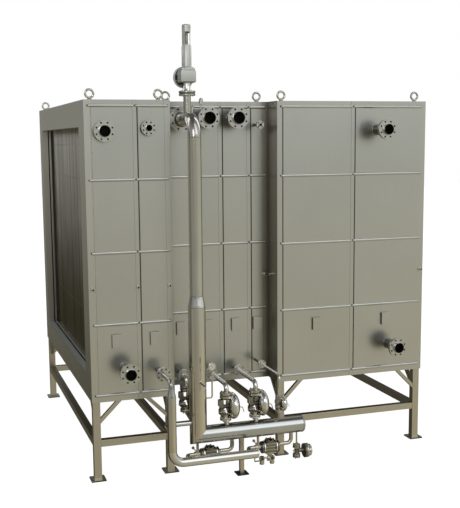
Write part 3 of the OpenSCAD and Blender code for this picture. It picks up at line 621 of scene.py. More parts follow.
def barrel(tree, sides, radius, depth, lift):
    made = node(tree, "GeometryNodeMeshCylinder", {"Vertices": sides, "Radius": radius,
                                                   "Depth": depth}).outputs["Mesh"]
    shift = node(tree, "ShaderNodeCombineXYZ", {"Z": lift}).outputs[0]
    return node(tree, "GeometryNodeTransform", {"Geometry": made, "Translation": shift}).outputs[0]


def carried(tree, name, kind):
    """A value that each host point carries"""
    return node(tree, "GeometryNodeInputNamedAttribute", {"Name": name}, data_type=kind).outputs[0]


def stud_flow():
    tree, given = flow("studs_and_nuts", {"Nut radius": 0.013, "Nut height": 0.011,
                                          "Stud radius": 0.0075, "Stud length": 0.018})
    half = calc(tree, "MULTIPLY", given["Nut height"], 0.5)
    wide = calc(tree, "MULTIPLY", given["Nut radius"], 1.2)
    reach = calc(tree, "MULTIPLY", given["Stud length"], 0.5)
    joined = node(tree, "GeometryNodeJoinGeometry")
    for part in (
            barrel(tree, 6, given["Nut radius"], given["Nut height"],
                   calc(tree, "ADD", half, 0.002)),
            barrel(tree, 14, wide, 0.003, 0.0005),
            barrel(tree, 10, given["Stud radius"], given["Stud length"], reach)):
        tree.links.new(part, joined.inputs[0])
    turn = node(tree, "FunctionNodeAlignRotationToVector",
                {"Vector": carried(tree, "aim", "FLOAT_VECTOR")}, axis="Z").outputs[0]
    placed = node(tree, "GeometryNodeInstanceOnPoints", {
        "Points": given["Geometry"], "Instance": joined.outputs[0], "Rotation": turn,
        "Scale": carried(tree, "size", "FLOAT")})
    return deliver(tree, placed.outputs[0])


stud_tree = stud_flow()
print("tree:", stud_tree[0].name)

# %% Tree: weld beads


def weld_flow():
    tree, given = flow("weld_beads", {"Bead": 0.004, "Spacing": 0.006, "Ripple": 0.25})
    curve = node(tree, "GeometryNodeMeshToCurve", {"Mesh": given["Geometry"]}).outputs[0]
    even_curve = node(tree, "GeometryNodeResampleCurve",
                      {"Curve": curve, "Length": given["Spacing"]}, mode="LENGTH").outputs[0]
    chance = node(tree, "FunctionNodeRandomValue", {"Min": 0.0, "Max": 1.0, "Seed": 4})
    width = calc(tree, "ADD", calc(tree, "MULTIPLY", chance.outputs[1], given["Ripple"]), 0.85)
    rippled = node(tree, "GeometryNodeSetCurveRadius", {"Curve": even_curve, "Radius": width})
    ring = node(tree, "GeometryNodeCurvePrimitiveCircle", {"Resolution": 6,
                                                          "Radius": given["Bead"]})
    bead = node(tree, "GeometryNodeCurveToMesh", {
        "Curve": rippled.outputs[0], "Profile Curve": ring.outputs["Curve"], "Scale": width,
        "Fill Caps": True})
    return deliver(tree, bead.outputs[0])


weld_tree = weld_flow()
print("tree:", weld_tree[0].name)

# %% Noting studs and welds for later
studs = []
seams = []


def ring_of(centre, axis, radius, count, start=0.0):
    """Evenly spaced places round an axis"""
    side, other, _ = across(axis)
    turns = [2 * pi * (i + start) / count for i in range(count)]
    return [Vector(centre) + radius * (cos(t) * side + sin(t) * other) for t in turns]


def stud_ring(centre, axis, radius, count, size=1.0, both=0.0):
    """Studs round an axis; `both` is the flange's thickness when nuts sit on its two sides"""
    along = across(axis)[2]
    for spot in ring_of(centre, axis, radius, count, 0.5):
        studs.append((spot, along, size))
        if both:
            studs.append((spot - along * both, -along, size))


def seam_ring(centre, axis, radius):
    seams.append(ring_of(centre, axis, radius, 48))


# %% [markdown]
# ## Frame and casing
# The frame is welded from square tube and the casing from folded sheet, so no real edge is
# knife sharp. The nodes' own shapes are right, and a Bevel modifier on a joined copy breaks
# their edges by a few millimetres, which is where light catches them.

# %% Softened copies


def softened(name, edge):
    """A tube node with soft edges, and painted shade on its upward faces"""
    label = name + "_softened"
    bm = bmesh.new()
    like_node(bm, name)
    bmesh.ops.transform(bm, matrix=to_frame, verts=bm.verts)
    flat = [e for e in bm.edges if len(e.link_faces) == 2 and e.calc_face_angle(1.0) < 0.01]
    bmesh.ops.dissolve_edges(bm, edges=flat, use_verts=False)
    mesh = to_mesh(bm, label, [frame_tube, frame_top])
    for face in mesh.polygons:
        face.material_index = int(face.normal.z > 0.6)
    held = in_scene(label, mesh)
    soft = held.modifiers.new("edges", "BEVEL")
    soft.width = edge
    soft.segments = 2
    soft.limit_method = "ANGLE"
    soft.angle_limit = radians(50)
    add_object(label, baked(held, label, 20), (name,))


for name in ("knee_braces", "long_beams", "cross_beams"):
    softened(name, 0.004)

# %% A finish for every node
finish_of_slot = {
    "frame_steel": frame_tube, "panel_steel": casing_sheet, "rod_steel": trim_rod,
    "coil_fins": fin_metal, "pipe_steel": pipe_metal, "cast_steel": cast_metal,
    "gauge_steel": pipe_metal,
}
finish_of_node = {"casing_middle": recess_sheet, "casing_right": corner_sheet}
for name in ("inlet_posts", "inlet_rails", "outlet_posts", "outlet_rails"):
    finish_of_node[name] = duct_sheet
slot_of = {part["node"]: part["material_slot"] for part in frame["record"]["subparts"]}
for name, part in nodes.items():
    part.data.materials.clear()
    part.data.materials.append(finish_of_node.get(name, finish_of_slot[slot_of[name]]))
print("slots:", sorted(set(slot_of.values())))

# %% [markdown]
# ## Coils
# Behind each duct opening stands a coil: a row of upright finned tubes in front of a dark core.
# Geometry Nodes stand one tube on each point of a line. An array would do as well for an even
# row, but the points are worked out from the coil's own box, so the row always fills it.

# %% Finned tubes
tube_radius, tube_pitch = 28.0, 60.0
strap_heights = (1985, 3785, 4250)


def tube_flow():
    tree, given = flow("finned_tubes", {"Height": 3.1, "Radius": 0.028})
    pole = node(tree, "GeometryNodeMeshCylinder", {
        "Vertices": 24, "Radius": given["Radius"], "Depth": given["Height"]}).outputs["Mesh"]
    placed = node(tree, "GeometryNodeInstanceOnPoints", {
        "Points": given["Geometry"], "Instance": pole})
    return deliver(tree, placed.outputs[0])


def coil(name, side):
    """side is 1 where the tubes face left, -1 where they face right"""
    low, high = low_of(name), high_of(name)
    near, far = (low.x, high.x) if side > 0 else (high.x, low.x)
    axle = near + side * tube_radius
    bm = bmesh.new()
    block(bm, (min(axle, far), low.y, low.z), (max(axle, far), high.y, high.z), 2)
    # Straps that hold the tubes apart
    front = axle - side * (tube_radius - 2)
    for z in strap_heights:
        block(bm, (min(axle, front), low.y + 2, z - 3), (max(axle, front), high.y - 2, z + 3), 1, 1)
    make_piece(name + "_core", bm, [dark_core, fin_strap], sharp=8)
    count = int((high.y - low.y) / tube_pitch)
    first = (low.y + high.y - (count - 1) * tube_pitch) / 2
    row = [Vector((axle, first + i * tube_pitch, mid_of(name).z)) for i in range(count)]
    host = bpy.data.meshes.new(name + "_row")
    host.from_pydata([to_frame @ place for place in row], [], [])
    grown(name + "_tubes", host, tube_tree, fin_metal,
          {"Height": (high.z - low.z) / 1000, "Radius": tube_radius / 1000}, (name,))


tube_tree = tube_flow()
coil("inlet_coil", 1)
coil("outlet_coil", -1)

# %% [markdown]
# ## Joints, folds and gaskets
# The panels meet in upright joints. Each panel ends in a folded lip beside its joint, and a dark
# seal lies in the groove; both are thin plates here. The duct frames sit on gaskets of their
# own. Grooves alone would do from far away, but the seal is what draws the black line.

# %% Panel joints
joint_bottom, joint_top = 1118, 4728
# The joint beside the inlet duct frame is nearly flush, so its seal is pale
flush_joint = 82


def panel_joints(name, joints, folds, sheet):
    """Seals and folded lips on the front and the back of one module"""
    low, high = low_of(name), high_of(name)
    bm = bmesh.new()

    def strip(xs, out, deep, zs, edge, finish):
        """A strip on both faces, from `out` before the sheet's face to `deep` behind it"""
        for face, way in ((low.y, 1), (high.y, -1)):
            ys = sorted((face - way * out, face + way * deep))
            block(bm, (xs[0], ys[0], zs[0]), (xs[1], ys[1], zs[1]), edge, finish)

    for x in joints:
        flush = x == flush_joint
        strip((x - 5.8, x + 5.8), 0.6 if flush else -3, 11.5, (joint_bottom, joint_top), 0.5,
              3 if flush else 0)
        # The lip beside each joint is real, and lighter than the sheet: a painted highlight
        strip((x + 6, x + 12), 1.2, 1.5, (joint_bottom, joint_top), 1.2, 1)
    for xs in folds:
        strip(xs, 2, 1, (low.z + 4, high.z - 4), 1.4, 2)
    make_piece(name + "_joints", bm, [dark_seal, fold_edge, sheet, faint_seal],
               sharp=8)


panel_joints("casing_left", [flush_joint, 660], [(600, 653), (1002, 1078)], casing_sheet)
panel_joints("casing_middle", [1160, 1524, 1916, 2316],
             [(1464, 1517), (1853, 1909), (2256, 2309), (2487, 2556)], recess_sheet)
panel_joints("casing_right", [2640, 3691], [(3631, 3684)], casing_sheet)

# %% Duct gaskets
opening_low, opening_high = 1345, 4473
gasket_depths, lip_depths = (88.6, 106.4), (136, 174)
hidden = 29


def duct_gaskets(posts, side):
    """side is 1 at the inlet and -1 at the outlet"""
    low, high = low_of(posts), high_of(posts)
    front, back = (390, 3975) if side > 0 else (low.y + 275, high.y - 275)
    near = low.x if side > 0 else high.x
    bm = bmesh.new()

    def strip(depths, ys, zs, finish):
        xs = sorted(near + side * d for d in depths)
        block(bm, (xs[0], ys[0], zs[0]), (xs[1], ys[1], zs[1]), 0.8, finish)

    # The gaskets in the gap round the opening are real, drawn near black as painted shade
    for ys in ((front - hidden + 1, front - 2), (back + 2, back + hidden - 1)):
        strip(gasket_depths, ys, (opening_low, opening_high), 0)
        strip(lip_depths, ys, (opening_low, opening_high), 1)
    for zs in ((opening_low - hidden, opening_low - 4), (opening_high + 4, opening_high + hidden)):
        strip(gasket_depths, (front - hidden + 2, back + hidden - 2), zs, 0)
    # Thin sill plates on the frame and on the lip, pale bluish grey: painted light from above
    for depths in ((2, 86), (108.5, 133.5)):
        strip(depths, (front + 2, back - 2), (opening_low - 2.4, opening_low - 0.4), 2)
    make_piece(posts + "_gaskets", bm, [dark_throat, dark_seal, sill_paint], sharp=8)


duct_gaskets("inlet_posts", 1)
duct_gaskets("outlet_posts", -1)

# %% [markdown]
# ## Open nozzles
# The nozzles stand open for the plant's own pipes. Their flanges have open bolt holes and deep
# bores, both black with shade. A black material on the node would blacken the rims too, so a
# thin near-black cup lines each bore and hole as painted shade.

# %% Dark liners


def liner(bm, centre, axis, radius, depth, sides=28):
    """A thin cup that opens along the axis; its mouth is at the centre"""
    lathe(bm, [(0, -depth), (radius, -depth), (radius, 0), (radius - 1.2, 0),
               (radius - 1.2, -depth + 1.5), (0, -depth + 1.5)], centre, axis, sides)


def bolt_liners(bm, face, pitch, holes, hole, thick):
    for spot in ring_of(face, to_front, pitch, holes, 0.5):
        # The cup is wider than the hole and stands proud of the face: a painted ring of shade
        liner(bm, spot + 0.8 * Vector(to_front), to_front, hole + 2.5, thick - 6, 14)


def open_flange(name, bore, pitch, holes, hole, flange, stub):
    """The nozzle's smooth copy, its liners and its weld at the wall"""
    low, high = low_of(name), high_of(name)
    wide = high.z - low.z
    centres = [low.x + wide / 2]
    if high.x - low.x > 1.5 * wide:
        centres.append(high.x - wide / 2)
    liners = bmesh.new()
    for x in centres:
        mouth = Vector((x, low.y, (low.z + high.z) / 2))
        liner(liners, mouth + Vector((0, 2, 0)), to_front, bore - 0.2,
              min(stub + flange + 18, high.y - low.y - 10))
        bolt_liners(liners, mouth + Vector((0, stub, 0)), pitch, holes, hole, flange)
        seam_ring((x, high.y - 2, mouth.z), to_back, bore + 8)
    make_piece(name + "_liners", liners, [dark_throat])
    # Painted shade: the stub's front rim is near black and the flange's edge dark
    redrawn(name, [pipe_metal, neck_metal, face_metal, dark_throat, rim_metal], {
        1: lambda c: c.y > low.y + stub + flange - 2,
        2: lambda c: c.y < low.y + stub + 1,
        3: lambda c: c.y < low.y + 0.5,
        4: lambda c: stub + 5 < c.y - low.y < stub + flange - 5}, ending="_turned")


for name in ("left_upper", "left_lower", "right_upper", "right_lower"):
    open_flange("nozzle_" + name, bore=64, pitch=106, holes=8, hole=10, flange=44, stub=36)
open_flange("nozzles_mid_upper", bore=69, pitch=118, holes=8, hole=11, flange=44, stub=36)
open_flange("nozzle_left_upper_small", bore=34, pitch=72.5, holes=8, hole=9, flange=36, stub=30)
open_flange("nozzle_mid_small", bore=12, pitch=37.5, holes=4, hole=7, flange=30, stub=18)

# %% [markdown]
# ## Pipes
# The pipes are stainless, drawn with a long satin grain, and the bends are polished where they
# were formed; their brighter, streaky steel is partly painted highlight. The nodes already have
# the right routes, so each is a joined copy that shades smooth, and rules on the faces' places
# give necks, flanges and bends finishes of their own; the dark necks are painted shade.

# %% Riser, vessel and condensate pipes
riser = mid_of("flash_riser")
vessel = mid_of("flash_vessel")
header_y = mid_of("condensate_header").y
reducer_low, reducer_high = 2240, 2380
drop_neck, drop_flange, drop_bend = -277, -296, -330
redrawn("flash_riser", [riser_metal, streak_metal], {
    1: lambda c: reducer_low < c.z < reducer_high})
redrawn("flash_vessel", [vessel_metal])
redrawn("condensate_header", [header_metal])
redrawn("cross_pipe", [cross_metal])
redrawn("condensate_drop", [drop_metal, neck_metal, face_metal, streak_metal], {
    1: lambda c: c.y > drop_neck,
    2: lambda c: abs(c.y - drop_flange) < 20,
    3: lambda c: c.y < drop_bend and c.z > 1204})

# %% Steam elbow
elbow_x = mid_of("steam_elbow").x
# Height of the steam flange's centre
elbow_z = low_of("steam_elbow").z + 229
steam_radius = 84
# Along y: where its neck and bend meet, and the two faces of its flange
neck_start, bend_end, flange_front, flange_back = 70, 139, 189, 235
redrawn("steam_elbow", [pipe_metal, elbow_metal, neck_metal, face_metal], {
    1: lambda c: c.y < bend_end and c.z < elbow_z + steam_radius,
    2: lambda c: c.y > flange_back or (
        neck_start < c.y < flange_front and c.z < elbow_z + steam_radius),
    3: lambda c: flange_front < c.y < flange_back})
holes = bmesh.new()
# Near-black cups in the bolt holes: painted shade
bolt_liners(holes, (mid_of("condensate_drop").x, -314, 1397), 72.5, 8, 9, 36)
bolt_liners(holes, (elbow_x, flange_front + 1, elbow_z), 132, 8, 11, 44)
make_piece("line_bolt_holes", holes, [dark_throat])

# %% Trap lines with their flanges
line_flange = 36


def trap_line(name, back, height, pitch, size):
    """back is where the flanges end, height and pitch are those of their studs"""
    redrawn(name, [streak_metal, neck_metal, face_metal], {
        1: lambda c: c.y > back, 2: lambda c: back - line_flange - 1 < c.y < back + 1})
    stud_ring((mid_of(name).x, back - line_flange, height), to_front, pitch, 4, size,
              both=line_flange)


trap_line("trap_line_1", 301, 1206, 62.5, 0.8)
trap_line("trap_line_2", 295, 1206, 62.5, 0.8)
trap_line("trap_line_3", 295, 1206, 62.5, 0.8)
trap_line("trap_line_small", 226, 1290, 37.5, 0.6)
redrawn("vessel_end_plate", [pipe_metal])
redrawn("air_vent", [valve_metal])

# %% Welds where the pipes change
for y, radius in ((478, 98), (flange_back + 1, 98), (bend_end, steam_radius), (-126, steam_radius)):
    seam_ring((elbow_x, y, elbow_z), to_back, radius)
for x, z, radius in ((elbow_x, elbow_z - 229, steam_radius), (riser.x, reducer_high, steam_radius),
                     (riser.x, reducer_low, 109.5)):
    seam_ring((x, riser.y, z), (0, 0, 1), radius)
seam_ring((mid_of("vessel_end_plate").x - 13, vessel.y, vessel.z), to_right, 109.5)
print(len(studs), "studs and", len(seams), "welds so far")

# %% [markdown]
# ## Rods, eyes and stubs
# Rods trim the panels, rings on the roof take the crane's hooks, and short open stubs take
# instruments. The frame's plain rings could stay, but forged ones are a little fuller, so they
# are drawn again. A small dark plug marks where each rod starts.

# %% Trim rods
for name in ("trim_rods_left", "trim_rods_middle", "trim_rods_right"):
    redrawn(name, [trim_rod], sharp=40)

# %% Lifting eyes
eyes = bmesh.new()
casing_top = high_of("casing_middle").z
eye_radius, eye_wire, eye_height = 50, 14, 74
eye_ring = [(eye_radius + eye_wire * cos(2 * pi * i / 12), eye_wire * sin(2 * pi * i / 12))
            for i in range(12)]
for name in ("casing_left", "casing_middle", "casing_right"):
    low, high = low_of(name), high_of(name)
    start = 0 if name == "casing_left" else low.x
    end = high_of("outlet_posts").x if name == "casing_right" else high.x
    for x in (start + 95, end - 125):
        for y in (low.y + 100, high.y - 100):
            foot = Vector((x, y, casing_top))
            lathe(eyes, [(0, 0), (30, 0), (30, 9), (24, 12), (16, 26), (0, 26)], foot, sides=24)
            lathe(eyes, eye_ring, foot + Vector((0, 0, eye_height)), to_back, 28, loop=True)
make_piece("lifting_eyes_forged", eyes, [pipe_metal], ("lifting_eyes",))

# %% Dark plugs where the rods start
plugs = bmesh.new()
rod_heights = (1118, 2021, 2928, 3825, 4728)
# Each module's front and back, and where its rods start
for front, back, starts in ((0, 4250, (48, 632)), (480, 3770, (1132, 1496, 1888, 2288)),
                            (140, 4110, (2612, 3663))):
    for x in starts:
        for z in rod_heights:
            for y, way in ((front, to_front), (back, to_back)):
                lathe(plugs, [(0, 0), (10, 0), (10, 5), (7, 8), (0, 8)], (x, y, z), way, 14)
make_piece("rod_plugs", plugs, [dark_seal])

# %% Tapping stubs
taps = bmesh.new()
stub_length = 43
for place, aim in (((48, 0, 2475), to_front), ((624, 0, 2475), to_front),
                   ((1034, 0, 2475), to_front), ((2512, 480, 2475), to_front),
                   ((4714, 140, 2475), to_front), ((2560, 320, 2495), to_left)):
    # A near-black cup in each stub: painted shade in its bore
    liner(taps, Vector(place) + stub_length * Vector(aim), aim, 10.8, 32, 16)
make_piece("tap_liners", taps, [dark_throat])
redrawn("tapping_stubs", [pipe_metal])

# %% [markdown]
# ## Safety valve
# The valve is a casting between two flanges, with a long spring bonnet and an open yoke that
# shows the spindle. One lathe profile would close the yoke, so the turned parts are stacked:
# flanges, cone, body, bonnet, two yoke walls with a window between them, spindle and cap.

# %% Part of a round wall


def wall_sector(bm, centre, inner, outer, low, high, start, end, finish, steps=10):
    """Part of a round wall between two angles, in degrees from +x towards +y"""
    rings = []
    for k in range(steps + 1):
        turn = radians(start + (end - start) * k / steps)
        way = Vector((cos(turn), sin(turn), 0))
        rings.append([bm.verts.new(Vector(centre) + way * r + Vector((0, 0, z)))
                      for r, z in ((inner, low), (outer, low), (outer, high), (inner, high))])
    for first, second in zip(rings, rings[1:]):
        join_rings(bm, first, second, finish)
    for ring in (rings[0], rings[-1]):
        bm.faces.new(ring).material_index = finish


# %% Safety valve
valve_finishes = [valve_metal, pipe_metal, bolt_metal, neck_metal, bright_metal, bonnet_metal]


def safety_valve():
    # Places in the list of finishes
    # gap is the painted-shade steel, near black; cone is the painted-highlight steel
    body, flange, bolt, gap, cone, case = range(6)
    low = low_of("safety_valve_body")
    top = high_of("safety_valve_bonnet").z
    foot = Vector((riser.x, low.y + 104, 0))
    base = low.z
    bm = bmesh.new()
    turned = turner(bm, foot)
    # Inlet flanges about a dark gap, and the cone above them
    turned(disc(104, base, base + 22, 3), flange)
    turned(disc(98, base + 22, base + 35, 1), gap)
    turned(disc(104, base + 35, base + 57, 3), flange)
    turned([(0, base + 57), (62, base + 57), (58, base + 66), (50, base + 90),
            (45, base + 130), (46, base + 156), (0, base + 156)], cone)
    # Body, its foot and its side cover
    block(bm, foot + Vector((-97, -90, 5014)), foot + Vector((95, 86, 5149)), 5, body)
    block(bm, foot + Vector((-86, -78, 5146)), foot + Vector((86, 78, 5179)), 5, body)
    block(bm, foot + Vector((-90, -84, 5004)), foot + Vector((88, 80, 5020)), 3, gap)
    turned([(0, 0), (46, 0), (46, 10), (42, 13), (0, 13)], body, 30, (88, 0, 5090), to_right)
    turned([(0, 5170), (74, 5170), (70, 5186), (66, 5190), (0, 5190)], body, 40)
    # Outlet, towards the back
    side = Vector((riser.x, foot.y, 5078))
    lathe(bm, [(0, 0), (80, 0), (80, 128), (86, 134), (130, 134), (132, 136), (132, 158),
               (130, 160), (66, 160), (64, 158), (64, 120), (0, 120)], side, to_back, 48, gap)
    lathe(bm, [(117, 133), (133, 134), (133, 158), (117, 158)], side, to_back, 48, body, loop=True)
    for spot in ring_of(side + Vector((0, 134, 0)), to_back, 103, 8, 0.5):
        lathe(bm, [(0, 0), (10, 0), (10, 14), (8, 16), (0, 16)], spot, to_front, 10, cone)
    stud_ring(foot + Vector((0, 0, base + 57)), (0, 0, 1), 86, 8, 0.42, both=57)
    # Bonnet, yoke with its spindle, and cap
    turned([(0, 5180), (64, 5180), (64, 5192), (60, 5197), (60, 5440), (57, 5447), (0, 5447)],
           case, 48)
    turned(drum(53, 5444, 5462), case, 48)
    for start, end in ((-20, 2), (50, 236)):
        wall_sector(bm, foot, 40, 53, 5460, 5622, start, end, case)
    turned([(0, 5462), (11, 5462), (11, 5500), (14, 5504), (14, 5580), (11, 5584), (11, 5624),
            (0, 5624)], bolt, 20)
    turned(drum(40, 5604, 5620), gap, 30)
    turned([(0, 5616), (50, 5616), (53, 5620), (53, top - 8), (46, top), (0, top)], case, 48)
    turned([(0, 0), (9, 0), (9, 14), (6, 18), (0, 18)], bolt, 6, (78, 0, 5176))
    for turn in (-150, -110, -70, -30):
        way = Vector((cos(radians(turn)), sin(radians(turn)), 0))
        lathe(bm, [(0, -2), (6, -2), (6, 3), (0, 4)], foot + way * 52 + Vector((0, 0, 5668)),
              way, 10, bolt)
    make_piece("safety_valve", bm, valve_finishes,
               ("safety_valve_body", "safety_valve_bonnet"), sharp=26)


safety_valve()

# %% [markdown]
# ## Float traps
# Each coil drains through a float trap: a body between two flanges, with a round float chamber
# on its side. The chamber is a polished pressing and the body a dark casting, which is what
# sets them apart, so the two get different finishes. One function draws all four, and the
# smallest is the same at 58 percent.

# %% Float traps
trap_finishes = [cast_metal, cover_metal, dome_metal, neck_metal, bright_metal]


def float_trap(name, foot, k, tail_radius, tail, drained=True):
    """foot is the middle of the inlet flange's top, in plant millimetres"""
    # Places in the list of finishes
    # neck: painted shade for gaps, necks, waist and foot plate; bright: painted highlight
    cast, cover, dome, neck, bright = range(5)

    def p(x, y, z):
        return Vector(foot) + k * Vector((x, y, z))

    def turned(profile, spot, axis=(0, 0, 1), sides=36, finish=cast):
        lathe(bm, [(radius * k, height * k) for radius, height in profile], spot, axis, sides, finish)

    def brick(low, high, edge, finish=cast):
        block(bm, p(*low), p(*high), edge * k, finish)

    bm = bmesh.new()
    # Inlet flanges over a dark gap
    turned(disc(74, -32, 0, 3), p(-12, 0, 0), finish=cover)
    turned(disc(64, -40, -32, 0.5), p(-12, 0, 0), finish=neck)
    turned(disc(74, -72, -40, 3), p(-12, 0, 0), finish=cover)
    stud_ring(p(-12, 0, 0), (0, 0, 1), 56 * k, 4, 0.8 * k, both=72 * k)
    turned(drum(44, -92, -72), p(-30, 0, 0), finish=neck)
    # Body in two lumps with a waist, a foot plate and ribs
    brick((-98, -44, -190), (-46, 44, -88), 14)
    brick((-88, -38, -222), (-46, 38, -184), 8, neck)
    brick((-98, -44, -268), (-46, 44, -214), 14)
    brick((-92, -52, -292), (-8, 52, -266), 6, neck)
    turned([(0, -80), (40, -80), (40, -56), (24, -50), (24, 0), (0, 0)], p(20, 0, -186), to_right,
           28, neck)
    for y in (-30, 0, 30):
        brick((-105, y - 6, -180), (-94, y + 6, -98), 3, bright)
    # Outlet neck and flanges
    turned([(0, -324), (42, -324), (42, -294), (36, -286), (0, -286)], p(-12, 0, 0), finish=cover)
    for low in (-365, -343):
        turned(disc(74, low, low + 17, 3), p(-12, 0, 0), finish=bright)
    turned(disc(66, -349, -342, 0.5), p(-12, 0, 0), finish=neck)
    stud_ring(p(-12, 0, -323), (0, 0, 1), 56 * k, 4, 0.8 * k, both=42 * k)
    # Test cone, pointing away from the chamber
    turned([(0, -8), (18, -8), (20, -4), (20, 12), (16, 22), (5, 88), (0, 90)], p(-40, -54, -240),
           to_left, 20, cover)
    # Float chamber with its top plug
    ball = [(170 * cos(radians(a)), 80 * sin(radians(a))) for a in range(-84, 90, 6)]
    turned([(0, -80)] + ball + [(0, 80)], p(86, 0, -186), to_right, 64, dome)
    turned([(0, 150), (15, 150), (15, 172), (11, 176), (0, 176)], p(86, 0, -186), sides=6,
           finish=cover)
    if drained:
        drain = rounded([p(136, -30, -206), p(208, -30, -206), p(226, -30, -274)], 26 * k)
        tube(bm, drain, 5 * k, 10, cast)
    # Pipe to the vessel
    tube(bm, tail, tail_radius, 24, cover)
    make_piece(name + "_castings", bm, trap_finishes, (name,), sharp=26)


def trap_at(name, x, y, k=1.0, tail_radius=30, drained=True):
    top = high_of(name).z
    over_vessel = abs(y - vessel.y) < 100
    end = (x, vessel.y - 20, vessel.z + 96) if over_vessel else (x, vessel.y, vessel.z + 60)
    float_trap(name, (x, y, top), k, tail_radius, [(x - 12 * k, y, top - 350 * k), end], drained)


trap_at("float_trap_1", riser.x, 180, drained=False)
trap_at("float_trap_2", mid_of("trap_line_2").x, vessel.y)
trap_at("float_trap_3", mid_of("trap_line_3").x, vessel.y)
trap_at("float_trap_small", mid_of("trap_line_small").x, vessel.y - 85, 0.58, 17)

# %% [markdown]
# ## Pressure gauge
# The gauge hangs on a U-shaped siphon, which keeps live steam out of it, below a small cock.
# A flat disc would do at this size, but close up a gauge is a rim, a recessed dial with marks
# round it, and a pointer, so each of them is made.

# %% Paints of the gauge


def painted(name, colour, rough):
    return metal(name, colour, rough, cloud=(30.0, 0.05), lines=(300.0, 0.02), stretch=even,
                 metallic=0.0, bump=0.01)


dial_paint = painted("dial_paint", (0.47, 0.43, 0.35), 0.5)
cock_paint = painted("cock_paint", (0.42, 0.37, 0.29), 0.6)
pointer_paint = painted("pointer_paint", (0.03, 0.03, 0.03), 0.4)
print(len(bpy.data.materials), "finishes")

# %% Pressure gauge
gauge_finishes = [pipe_metal, dial_paint, pointer_paint, cock_paint, neck_metal, face_metal]


def pressure_gauge():
    # Places in the list of finishes
    steel, dial, ink, paint, neck, rim = range(6)
    root = Vector((riser.x, riser.y - 105, 1297))
    front = riser.y - 345
    right = riser.x + 82
    bm = bmesh.new()
    route = [root, (riser.x, front, 1297), (riser.x, front, 1160), (right, front, 1160),
             (right, front, 1515)]
    tube(bm, [root, root + Vector((0, -222, 0))], 10.6, 18, neck)
    tube(bm, rounded(route, 22), 10, 18, steel)
    lathe(bm, [(0, 0), (24, 0), (24, 10), (16, 14), (0, 14)], root, to_front, 6)
    # Cock: body, union nuts and key
    cock = Vector((right, front, 1415))
    lathe(bm, [(0, -18), (24, -18), (26, -14), (26, 22), (22, 26), (14, 30), (14, 60), (0, 60)],
          cock, to_front, 24, paint)
    block(bm, cock + Vector((-20, -82, -6)), cock + Vector((20, -56, 6)), 3)
    for z in (1384, 1440, 1490):
        lathe(bm, [(0, 0), (15, 0), (17, 3), (17, 14), (15, 17), (0, 17)], (right, front, z), sides=6)
    # Case with its rim, dial and pointer
    face = Vector((right, front + 18, 1550))
    lathe(bm, [(0, 0), (42, 0), (46, 4), (46, 26), (50, 30), (50, 38), (47, 40), (43, 40), (42, 34),
               (0, 34)], face, to_front, 40, rim)
    lathe(bm, drum(41, 34.5, 35), face, to_front, 40, dial)
    for i in range(13):
        turn = radians(-135 + 270 * i / 12)
        spin = Matrix.Translation(face + Vector((0, -35.4, 0))) @ Matrix.Rotation(turn, 4, "Y")
        block(bm, (-0.8, -0.5, 30), (0.8, 0.3, 38), 0.1, ink, spin)
    spin = Matrix.Translation(face + Vector((0, -36, 0))) @ Matrix.Rotation(radians(-40), 4, "Y")
    block(bm, (-1.2, -0.6, -10), (1.2, 0.2, 32), 0.15, ink, spin)
    lathe(bm, [(0, 35), (4, 35), (4, 38), (0, 38.5)], face, to_front, 14, ink)
    make_piece("pressure_gauge_case", bm, gauge_finishes, ("pressure_gauge",))


pressure_gauge()

# %% [markdown]
# ## Drain traps under the vessel
# Two inline traps hang under the vessel. Each is a ribbed body between two pairs of flanges,
# with a bolted bonnet on top and a sump below, and pipes loop to the vessel and the header.

# %% Drain traps
trap_height = 322
drain_finishes = [cast_metal, rib_metal, pipe_metal, black_polish, bright_metal, dark_throat]


